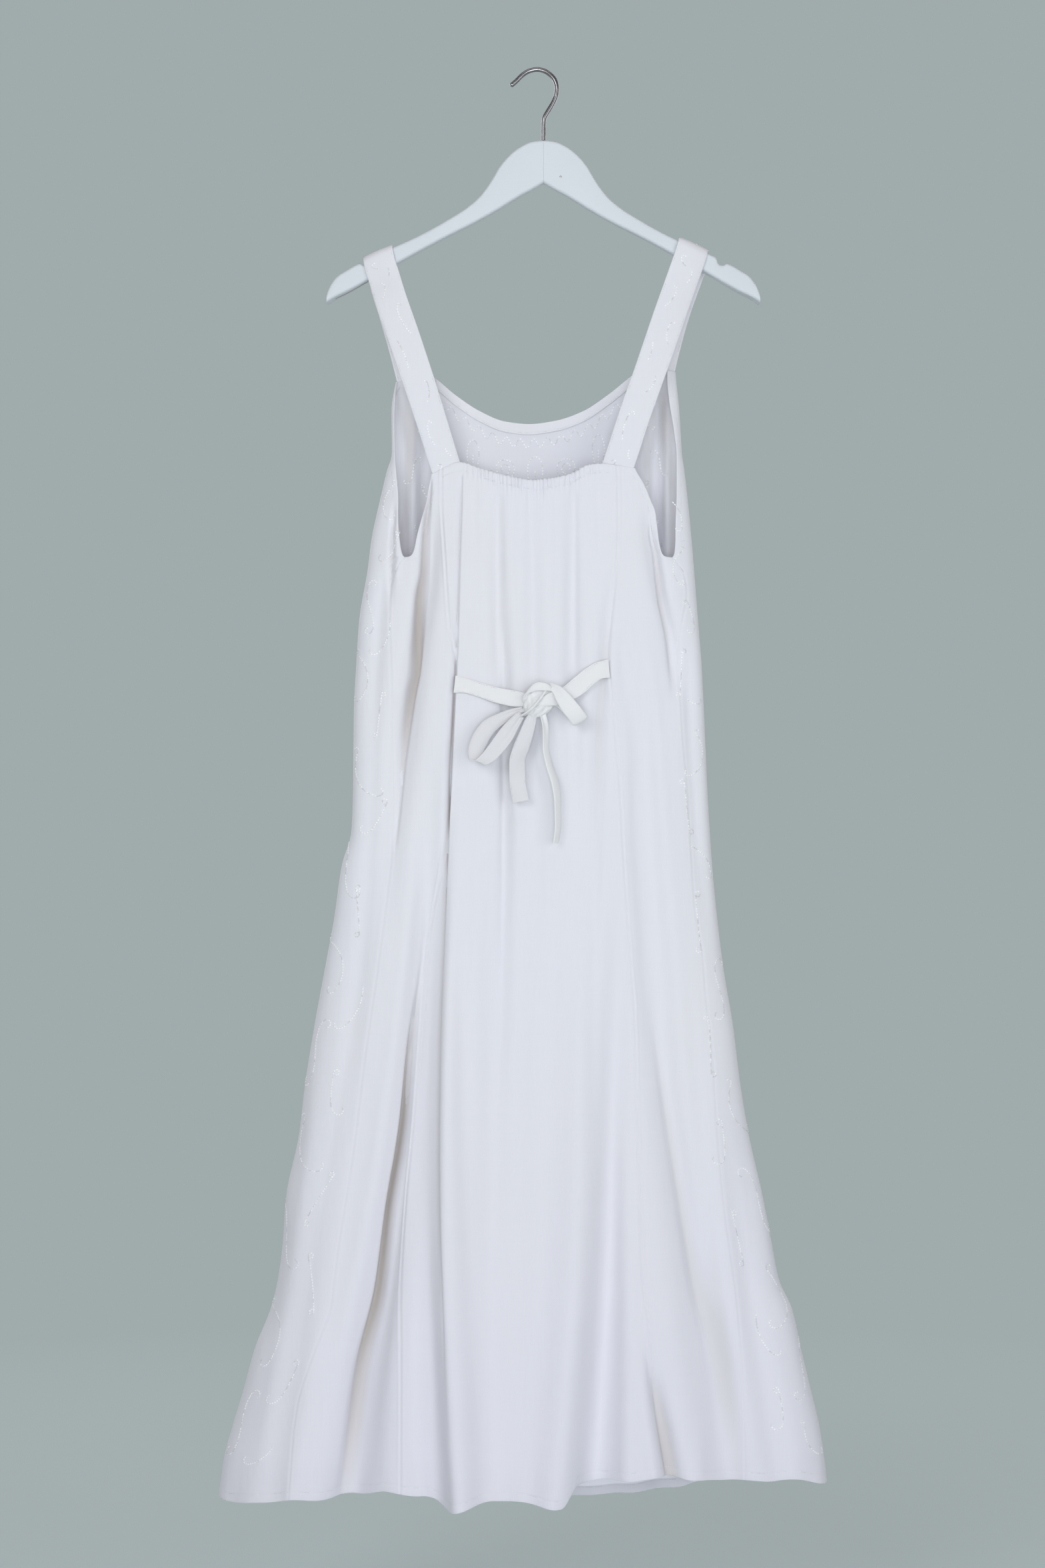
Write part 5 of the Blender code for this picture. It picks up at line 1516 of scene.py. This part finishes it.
def woven_cloth(name, light, shade, threads, crush, sheen, glow=0.0, painted_armhole_shade=0.0):
    """Fine crepe: uneven crossed threads, a pebbled face, soft drag lines and a tone that drifts.

    glow is painted light: the wrong side glows with its own light in place of light through the thin cloth,
    most by the hem. The armhole shade is painted shade: warm marks on its folds inside the armholes, added
    to the painted shade deep in every fold.
    """
    made, shader, place = start_material(name)
    pitch = 2 * math.pi * 1000 / threads
    warp = (place.part(0) * pitch).sine()
    weft = (place.part(2) * pitch).sine()
    weave = warp * weft * 0.5 + 0.5
    pebble = place.noise(1500, 3, 0.6)
    thick_warp = place.stretched((1, 1, 0.05)).noise(700, 2)
    thick_weft = place.stretched((0.05, 0.05, 1)).noise(620, 2)
    slub = thick_warp * 0.6 + thick_weft * 0.4
    drift = place.stretched((1, 1, 0.5)).noise(5.5, 3, 0.55)
    drag = place.stretched((1, 1, 0.14)).noise(60, 3, 0.5)
    crease = place.stretched((1, 1, 0.45)).noise(26, 4, 0.55)
    drop = place.part(2) * -1
    hem_dust = drop.band(*DUSTY_HEM) * place.noise(120, 3)
    tone = 1.03 - weave * 0.03 - slub * 0.05 - hem_dust * 0.05
    low = drop.band(*LOW_CLOTH) * 0.7
    drifting = drift.band(0.35, 0.65).tinted(rgba(light), rgba(shade))
    colour = low.tinted(drifting, tinged(light, LILAC_TINGE)).dimmed(tone)
    # Painted shade: the mesh's hollow, which is 1 deep in the folds
    hollow = place.node("ShaderNodeAttribute", {"attribute_name": "hollow"}, None, 2)
    # Painted shade: warm streak marks on the folds inside the armholes, added to the hollow
    if painted_armhole_shade:
        sideways = (place.part(0) * place.part(0)).band(*BESIDE_ARMHOLES)
        folded = place.stretched((1, 1, 0.1)).noise(70, 3).band(0.38, 0.62)
        hollow = hollow + sideways * folded * painted_armhole_shade
        # Painted light: the wrong side glows brighter by the hem and beside the armholes
        painted_glow = drop.band(*LIT_HEM) + sideways * 0.2
        painted_glow = painted_glow.tinted(rgba(light, 0.2), rgba(light, 0.9))
        made.node_tree.links.new(painted_glow.socket, shader.inputs["Emission Color"])
    # Painted shade: deep in the folds the colour turns to a warm dark
    colour = hollow.tinted(colour, tinged(light, PAINTED_FOLD_SHADE))
    roughness = pebble * 0.16 + 0.56
    relief = weave * 0.012 + pebble * 0.02 + slub * 0.03 + drag * crush + crease * crush * 1.6
    settings = {"Sheen Weight": sheen, "Sheen Roughness": 0.4, "Specular IOR Level": 0.3}
    # Painted light: where glow is above 0 the cloth glows with its own light
    settings |= {"Emission Color": rgba(light), "Emission Strength": glow}
    return finish_material(made, shader, colour, roughness, relief, settings)


def embroidery_thread(name, colour, gloss):
    """Twisted floss with a silky shine, and patches painted darker as a painted reflection of dark
    surroundings.
    """
    made, shader, place = start_material(name)
    twist = ((place.part(0) + place.part(2)) * 9000).sine() * 0.5 + 0.5
    strand = place.noise(2600, 2)
    # Painted reflection: patches of the floss are darker, for the dark surroundings that its shine reflects
    tint = place.noise(160, 2).band(0.5, 0.6).tinted(rgba(colour), rgba(colour, 0.68))
    shaded = tint.dimmed(1.04 - twist * 0.1)
    roughness = strand * 0.2 + gloss
    relief = twist * 0.05 + strand * 0.03
    settings = {"Sheen Weight": 0.35, "Sheen Roughness": 0.3, "Specular IOR Level": 0.6}
    return finish_material(made, shader, shaded, roughness, relief, settings)


def painted_wood(name, paint, wood):
    """Satin paint over wood: faint brush marks, grain that telegraphs, a scuff and a brown edge behind."""
    made, shader, place = start_material(name)
    brush = place.stretched((0.08, 1, 1)).noise(900, 2)
    grain = place.stretched((0.06, 1, 1)).noise(260, 4, 0.6)
    rings = ((place.stretched((0.1, 1, 1)).noise(60, 3) * 40).sine() * 0.5 + 0.5) * grain
    drift = place.noise(14, 3)
    away = place.node("ShaderNodeVectorMath", {"operation": "DISTANCE"}, {0: place, 1: SCUFF_PLACE}, 1)
    scuff = (1 - away.band(*SCUFF_EDGE)) * place.noise(1400, 2).band(0.35, 0.6)
    left_end = (place.part(0) * -1).between(*BROWN_STRIP_LENGTH)
    inwards = place.part(1) + place.part(0) * 0.23 + place.noise(90, 3) * 0.003
    # A brown strip on the underside behind the left end, and the scuff, in the brown of the grain
    brown_strip_and_scuff = (left_end * inwards.between(*BROWN_STRIP_ACROSS) + scuff * 0.7).band(0.25, 0.6)
    brown_grain = rings.tinted(rgba(wood), rgba(wood, 0.62))
    coat = drift.tinted(rgba(paint), rgba(paint, 0.955)).dimmed(1.01 - brush * 0.03)
    colour = brown_strip_and_scuff.tinted(coat, brown_grain)
    roughness = brush * 0.06 + 0.5 + brown_strip_and_scuff * 0.3
    relief = brush * 0.006 + grain * 0.003 - brown_strip_and_scuff * 0.05
    return finish_material(made, shader, colour, roughness, relief, {"Specular IOR Level": 0.3})


def drawn_steel(name, colour):
    """Drawn steel wire with fine lengthwise lines and a brown tarnish."""
    made, shader, place = start_material(name)
    lines = place.stretched((1, 1, 0.1)).noise(2600, 3, 0.7)
    tarnish = place.noise(150, 4, 0.6).band(0.56, 0.72)
    shaded = tarnish.tinted(rgba(colour), rgba(TARNISH)).dimmed(lines * 0.2 + 0.9)
    roughness = lines * 0.1 + tarnish * 0.2 + 0.14
    relief = lines * 0.012 + tarnish * 0.01
    return finish_material(made, shader, shaded, roughness, relief, {"Metallic": 1.0})


def make_looks():
    """Makes the materials of the dress and its hanger."""
    scene = bpy.context.scene
    cloth, sewing, hanger = scene.dress_cloth, scene.dress_sewing, scene.dress_hanger
    threads = cloth.thread_pitch
    inside = cloth.shaded_inside_colour
    woven_cloth("crepe", cloth.light_colour, cloth.shade_colour, threads, crush=0.5, sheen=0.12)
    # The wrong side: the crepe in a darker colour as painted shade, with a painted glow
    woven_cloth("crepe_inside_painted_shade_and_glow", inside, cloth.shaded_inside_drift, threads, 0.16, 0.08, glow=0.3, painted_armhole_shade=0.5)
    woven_cloth("trim_crepe", cloth.trim_colour, cloth.trim_shade, threads, crush=0.08, sheen=0.12)
    # The left half of the bow: the trim's crepe painted darker, as painted shade
    woven_cloth("shaded_bow_crepe", cloth.shaded_bow_colour, cloth.shaded_bow_drift, threads, crush=0.1, sheen=0.12)
    embroidery_thread("floss", sewing.floss_colour, 0.22)
    embroidery_thread("sewing_thread", sewing.thread_colour, 0.45)
    painted_wood("satin_paint", hanger.paint_colour, hanger.wood_colour)
    drawn_steel("wire_steel", hanger.steel_colour)


def looks_of(*names):
    """Materials by name, for the slots of a mesh. The first call makes them all."""
    if "crepe" not in bpy.data.materials:
        make_looks()
    return [bpy.data.materials[name] for name in names]


def fit(piece, slot, *nodes):
    """Lets a piece ride on the dress and stand for its solids."""
    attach(piece, "root")
    if nodes:
        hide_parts(*nodes)


def length_property(name, description, default, low, high):
    return bpy.props.FloatProperty(
        name=name, description=description, default=default, min=low, max=high,
        precision=5, subtype="DISTANCE", unit="LENGTH",
    )


def colour_property(name, description, default):
    return bpy.props.FloatVectorProperty(
        name=name, description=description, default=default, subtype="COLOR", size=3, min=0, max=1
    )


class DressCloth(bpy.types.PropertyGroup):
    """The cloth of the dress and of its trim."""

    thickness: length_property("Cloth thickness", "Thickness of one layer of crepe", 0.0006, 0.0002, 0.001)
    thread_pitch: bpy.props.FloatProperty(
        name="Thread pitch", description="Distance between threads of the weave, in millimetres",
        default=0.55, min=0.2, max=2,
    )
    light_colour: colour_property("Cloth", "Main colour of the crepe", (0.781, 0.779, 0.827))
    shade_colour: colour_property("Cloth drift", "Colour that the crepe drifts to", (0.788, 0.778, 0.807))
    # Painted shade: the wrong side is the same crepe in a darker colour, for the shade it lies in
    shaded_inside_colour: colour_property("Inside", "Wrong side of the crepe", (0.675, 0.69, 0.745))
    shaded_inside_drift: colour_property("Inside drift", "Drift of the wrong side", (0.708, 0.705, 0.745))
    trim_colour: colour_property("Trim", "Waist ties, knot and right half of the bow", (0.825, 0.825, 0.83))
    trim_shade: colour_property("Trim drift", "Colour that the trim drifts to", (0.825, 0.82, 0.82))
    # Painted shade: the left half of the bow is the ties' crepe in a darker colour
    shaded_bow_colour: colour_property("Bow", "Left half of the bow, worn softer", (0.75, 0.742, 0.764))
    shaded_bow_drift: colour_property("Bow drift", "Colour that the bow drifts to", (0.735, 0.722, 0.733))


class DressSewing(bpy.types.PropertyGroup):
    """The sewing and the embroidery."""

    floss_width: length_property("Floss width", "Width of an embroidery stitch", 0.0013, 0.0003, 0.002)
    thread_width: length_property("Thread width", "Width of a machine stitch", 0.0004, 0.0002, 0.001)
    floss_colour: colour_property("Floss", "Silky embroidery thread", (1.0, 1.0, 1.0))
    thread_colour: colour_property("Thread", "Sewing thread", (0.82, 0.83, 0.86))


class DressHanger(bpy.types.PropertyGroup):
    """The hanger and its hook."""

    wire_thickness: length_property("Hook wire", "Thickness of the hook's wire", 0.0047, 0.002, 0.006)
    paint_colour: colour_property("Paint", "Satin paint of the hanger", (0.71, 0.745, 0.78))
    # The brown of the scuff and of the strip behind the left end
    wood_colour: colour_property("Wood", "Bare wood at worn places", (0.30, 0.20, 0.13))
    steel_colour: colour_property("Steel", "Wire of the hook", (0.31, 0.30, 0.31))


class DressStage(bpy.types.PropertyGroup):
    """The studio round the dress."""

    floor_level: length_property("Floor level", "Height of the floor below the hook", -1.62, -3, -1.5)
    backdrop_colour: colour_property("Backdrop", "Pale grey of the backdrop", (0.352, 0.407, 0.413))
    floor_colour: colour_property("Floor", "Pale grey of the floor", (0.565, 0.64, 0.635))
    key_power: bpy.props.FloatProperty(
        name="Key light", description="Power of each front softbox, in watts", default=66, min=0, max=1000
    )
    ambient: bpy.props.FloatProperty(
        name="Ambient", description="Strength of the even light of the room", default=0.22, min=0, max=3
    )


def body_shares(count):
    """Shares of the way across a panel, close together by its two edges."""
    return crowded(count, SIDE_COLUMNS, SIDE_COLUMNS)


class DRESS_OT_front(bpy.types.Operator):
    """Sew the front, which wraps round both sides to the side seams of the back"""

    bl_idname = "dress.front"
    bl_label = "Front panel"

    def execute(self, context):
        looks = looks_of("crepe", "crepe_inside_painted_shade_and_glow")
        cloth = context.scene.dress_cloth.thickness / MM
        bodice = crowded(34, TOP_ROWS, ARMHOLE_ROWS)
        skirt = crowded(134, (0,), HEM_ROWS)
        piece = cloth_panel("front_cloth", FRONT, body_shares(228), bodice, skirt, cloth, looks)
        fit(piece, "cloth", "front_panel")
        return {"FINISHED"}


class DRESS_OT_back(bpy.types.Operator):
    """Sew the gathered centre back and its two side panels"""

    bl_idname = "dress.back"
    bl_label = "Back panels"

    def execute(self, context):
        looks = looks_of("crepe", "crepe_inside_painted_shade_and_glow")
        cloth = context.scene.dress_cloth.thickness / MM
        skirt = crowded(118, (0,), HEM_ROWS)
        middle = crowded(44, CASING_ROWS, (0,))
        side = crowded(28, TOP_ROWS, ARMHOLE_ROWS)
        for name, panel, count, bodice, node in (
            ("back_centre_cloth", BACK_CENTRE, 240, middle, "back_centre"),
            ("back_left_cloth", BACK_LEFT, 84, side, "back_side_left"),
            ("back_right_cloth", BACK_RIGHT, 70, side, "back_side_right"),
        ):
            puckered = panel is BACK_CENTRE
            piece = cloth_panel(name, panel, body_shares(count), bodice, skirt, cloth, looks, puckered)
            fit(piece, "cloth", node)
        return {"FINISHED"}


class DRESS_OT_necklines(bpy.types.Operator):
    """Finish the front neckline with its facing and the back neckline with its gathered casing"""

    bl_idname = "dress.necklines"
    bl_label = "Necklines"

    def execute(self, context):
        cloth = context.scene.dress_cloth.thickness / MM
        ends = SIDE_COLUMNS[:4]
        casing = neck_casing(crowded(330, ends, ends), looks_of("crepe", "crepe_inside_painted_shade_and_glow"))
        fit(casing, "trim", "back_neck_casing")
        fit(neck_facing(cloth, looks_of("crepe")), "trim", "front_neck_facing")
        return {"FINISHED"}


class DRESS_OT_straps(bpy.types.Operator):
    """Lay the two doubled straps over the hanger"""

    bl_idname = "dress.straps"
    bl_label = "Straps"

    def execute(self, context):
        for side, rows in (("left", STRAP_LEFT), ("right", STRAP_RIGHT)):
            name = f"strap_{side}_cloth"
            mesh = ribbon_shell(name, rows, 150, 18, STRAP_CLOTH, looks_of("crepe"), strap_fold)
            fit(link(name, mesh), "cloth", f"strap_{side}")
        return {"FINISHED"}


class DRESS_OT_bow(bpy.types.Operator):
    """Tie the waist ties in their bow"""

    bl_idname = "dress.bow"
    bl_label = "Ties and bow"

    def execute(self, context):
        for node, look, rows, along, fold in (
            ("tie_left", "trim_crepe", TIE_LEFT, 60, tie_fold),
            ("tie_right", "trim_crepe", TIE_RIGHT, 60, pleated(0, 0.8, 1.0, 2)),
            # The left loop and end take the darker crepe of the bow, a painted shade
            ("bow_loop_left", "shaded_bow_crepe", LOOP_LEFT, 120, pleated(1, 1, 1.1, 2)),
            ("bow_loop_right", "trim_crepe", LOOP_RIGHT, 100, pleated(1, 1, 0.9, 1)),
            ("bow_end_left", "shaded_bow_crepe", END_LEFT, 70, END_FOLD),
            ("bow_end_right", "trim_crepe", END_RIGHT, 80, pleated(1, 0.3, 1.0, 1)),
        ):
            name = f"{node}_cloth"
            mesh = ribbon_shell(name, rows, along, 16, TIE_CLOTH, looks_of(look), fold)
            fit(link(name, mesh), "trim", node)
        trim = looks_of("trim_crepe")
        knot = [knot_core(trim)]
        for name, rows, across, fold in (
            ("band", KNOT_BAND, 14, pleated(1, 1, 0.9, 2)),
            ("top", KNOT_TOP, 14, pleated(1, 1, 0.8, 1)),
            ("fan", KNOT_FAN, 18, pleated(1.2, 0.5, 1.2, 3)),
        ):
            knot.append(ribbon_shell(name, rows, 40, across, TIE_CLOTH, trim, fold))
        fit(joined("bow_knot_cloth", knot), "trim", "bow_knot")
        return {"FINISHED"}


class DRESS_OT_sewing(bpy.types.Operator):
    """Add the seam allowances inside, the machine stitching and the bust darts"""

    bl_idname = "dress.sewing"
    bl_label = "Sewing"

    def execute(self, context):
        cloth = context.scene.dress_cloth.thickness / MM
        width = context.scene.dress_sewing.thread_width / MM
        fit(seam_allowances(cloth, looks_of("crepe_inside_painted_shade_and_glow")), "cloth")
        runs = sewing_runs(cloth) + dart_runs(cloth)
        size = (SEWING_PITCH * 0.8, width, width * 0.7)
        fit(stitch_mesh("machine_stitches", runs, size, 3, 4, looks_of("sewing_thread")), "cloth")
        return {"FINISHED"}


class DRESS_OT_embroidery(bpy.types.Operator):
    """Embroider the sides, the yoke and the straps in silky floss"""

    bl_idname = "dress.embroidery"
    bl_label = "Embroidery"

    def execute(self, context):
        floss = looks_of("floss")
        cloth = context.scene.dress_cloth.thickness / MM
        width = context.scene.dress_sewing.floss_width / MM
        size = (STITCH_PITCH * 0.86, width, width * 0.6)
        sides = (("left", -1, LEFT_SCROLLS, STRAP_LEFT), ("right", 1, RIGHT_SCROLLS, STRAP_RIGHT))
        for name, side, scrolls, strap in sides:
            runs = side_embroidery(side, scrolls) + strap_embroidery(strap, STRAP_MARKS)
            fit(stitch_mesh(f"scrolls_{name}", runs, size, 4, 5, floss, STITCH_SWAY), "cloth")
        shown, backs = front_embroidery(yoke_lines(), cloth)
        fit(stitch_mesh("yoke_stitches", shown, size, 4, 5, floss, STITCH_SWAY), "cloth")
        thin = (STITCH_PITCH * 0.9, width * 0.9, width * 0.55)
        fit(stitch_mesh("yoke_stitch_backs", backs, thin, 4, 5, floss), "cloth")
        return {"FINISHED"}


class DRESS_OT_hanger(bpy.types.Operator):
    """Turn the painted wooden hanger and bend its steel hook"""

    bl_idname = "dress.hanger"
    bl_label = "Hanger"

    def execute(self, context):
        paint = looks_of("satin_paint")
        fit(hanger_half("hanger_left", -1, paint), "hanger_paint", "hanger_bar_left")
        fit(hanger_half("hanger_right", 1, paint), "hanger_paint", "hanger_bar_right")
        thick = context.scene.dress_hanger.wire_thickness / MM
        fit(wire("hook", HOOK_PATH, thick, looks_of("wire_steel")), "hook_steel", "hanger_hook")
        return {"FINISHED"}


class DRESS_OT_stage(bpy.types.Operator):
    """Set up the pale floor, the backdrop, the soft lights and the camera"""

    bl_idname = "dress.stage"
    bl_label = "Stage"

    def execute(self, context):
        stage = context.scene.dress_stage
        floor = stage_floor(stage.floor_level)
        floor.data.materials.append(floor_material(stage.floor_colour, stage.backdrop_colour))
        dome = stage_dome()
        dome.data.materials.append(glow_material("backdrop", stage.backdrop_colour))
        dome.visible_diffuse = False
        dome.visible_glossy = False
        dome.visible_shadow = False
        for name, place, size, share in LIGHTS:
            soft_light(name, place, size, stage.key_power * share)
        room_light(stage.ambient)
        add_camera()
        context.scene.view_settings.view_transform = "Standard"
        return {"FINISHED"}


def stage_piece(name, shape):
    """A piece of the stage from its bmesh shape."""
    mesh = bpy.data.meshes.new(name)
    shape.to_mesh(mesh)
    shape.free()
    return link(name, mesh)


def stage_floor(level):
    """The round floor."""
    shape = bmesh.new()
    bmesh.ops.create_circle(shape, cap_ends=True, segments=128, radius=FLOOR_RADIUS)
    bmesh.ops.translate(shape, verts=shape.verts, vec=(0, 0, level))
    return stage_piece("floor", shape)


def stage_dome():
    """The backdrop, a wide ball seen from inside."""
    shape = bmesh.new()
    bmesh.ops.create_icosphere(shape, subdivisions=4, radius=BACKDROP_RADIUS)
    bmesh.ops.reverse_faces(shape, faces=shape.faces)
    dome = stage_piece("backdrop", shape)
    dome.data.shade_smooth()
    return dome


def glow_material(name, colour):
    """An even glow of one colour."""
    made, shader, _ = start_material(name)
    shader.inputs["Base Color"].default_value = (0, 0, 0, 1)
    shader.inputs["Specular IOR Level"].default_value = 0
    shader.inputs["Emission Color"].default_value = rgba(colour)
    shader.inputs["Emission Strength"].default_value = 1
    return made


def floor_material(colour, backdrop):
    """A matt pale floor that melts into the backdrop towards its rim."""
    made, shader, place = start_material("floor")
    flat = place.stretched((1, 1, 0))
    melt = place.node("ShaderNodeVectorMath", {"operation": "LENGTH"}, {0: flat}, 1).band(*FLOOR_MELT)
    tint = place.noise(35, 4).tinted(rgba(colour), rgba(colour, 0.985))
    tree = made.node_tree
    tree.links.new(tint.socket, shader.inputs["Base Color"])
    shader.inputs["Roughness"].default_value = 0.9
    shader.inputs["Specular IOR Level"].default_value = 0.1
    glow = tint.node("ShaderNodeEmission", None, {"Color": rgba(backdrop), "Strength": 1.0})
    mixed = tint.node("ShaderNodeMixShader", None, {0: melt, 1: Shade(tree, shader.outputs[0]), 2: glow})
    tree.links.new(mixed.socket, tree.nodes["Material Output"].inputs["Surface"])
    return made


def soft_light(name, place, size, power):
    """A rectangular softbox that faces the middle of the dress."""
    lamp = bpy.data.lights.new(name, "AREA")
    lamp.shape = "RECTANGLE"
    lamp.size, lamp.size_y = size
    lamp.energy = power
    lamp.color = LAMP_COLOUR
    made = bpy.data.objects.new(name, lamp)
    made.location = place
    towards = Vector(LIT_POINT) - Vector(place)
    made.rotation_euler = towards.to_track_quat("-Z", "Y").to_euler()
    made.visible_camera = False
    bpy.context.collection.objects.link(made)


def room_light(strength):
    """The even light of the room."""
    world = bpy.data.worlds.new("room")
    bpy.context.scene.world = world
    world.use_nodes = True
    sky = world.node_tree.nodes["Background"]
    sky.inputs["Color"].default_value = ROOM_COLOUR
    sky.inputs["Strength"].default_value = strength


def add_camera():
    """The camera of the photograph: level with the middle of the dress, square to its back."""
    lens = bpy.data.cameras.new("camera")
    lens.sensor_width = SENSOR
    lens.lens = SENSOR * CAMERA_DISTANCE / FRAME_HEIGHT
    camera = bpy.data.objects.new("camera", lens)
    camera.location = (CAMERA_X, -CAMERA_DISTANCE, CAMERA_Z)
    camera.rotation_euler = (math.pi / 2, 0, 0)
    bpy.context.collection.objects.link(camera)
    bpy.context.scene.camera = camera


class DRESS_PT_sidebar(bpy.types.Panel):
    """Lists the settings of the dress and the steps that build it"""

    bl_idname = "DRESS_PT_sidebar"
    bl_label = "Maxi dress"
    bl_space_type = "VIEW_3D"
    bl_region_type = "UI"
    bl_category = "Dress"

    def draw(self, context):
        layout = self.layout
        for group in GROUPS:
            settings = getattr(context.scene, group)
            box = layout.box()
            for name in settings.bl_rna.properties.keys():
                if name not in ("rna_type", "name"):
                    box.prop(settings, name)
        for operator in OPERATORS:
            layout.operator(operator.bl_idname)


GROUPS = {
    "dress_cloth": DressCloth,
    "dress_sewing": DressSewing,
    "dress_hanger": DressHanger,
    "dress_stage": DressStage,
}
OPERATORS = (
    DRESS_OT_front,
    DRESS_OT_back,
    DRESS_OT_necklines,
    DRESS_OT_straps,
    DRESS_OT_bow,
    DRESS_OT_sewing,
    DRESS_OT_embroidery,
    DRESS_OT_hanger,
    DRESS_OT_stage,
)


def register():
    for cls in (*GROUPS.values(), *OPERATORS, DRESS_PT_sidebar):
        bpy.utils.register_class(cls)
    for name, group in GROUPS.items():
        setattr(bpy.types.Scene, name, bpy.props.PointerProperty(type=group))


def unregister():
    for name in GROUPS:
        delattr(bpy.types.Scene, name)
    for cls in (DRESS_PT_sidebar, *reversed(OPERATORS), *reversed(list(GROUPS.values()))):
        bpy.utils.unregister_class(cls)


def main():
    register()
    for operator in OPERATORS:
        group, name = operator.bl_idname.split(".")
        getattr(getattr(bpy.ops, group), name)()


if __name__ == "__main__":
    main()
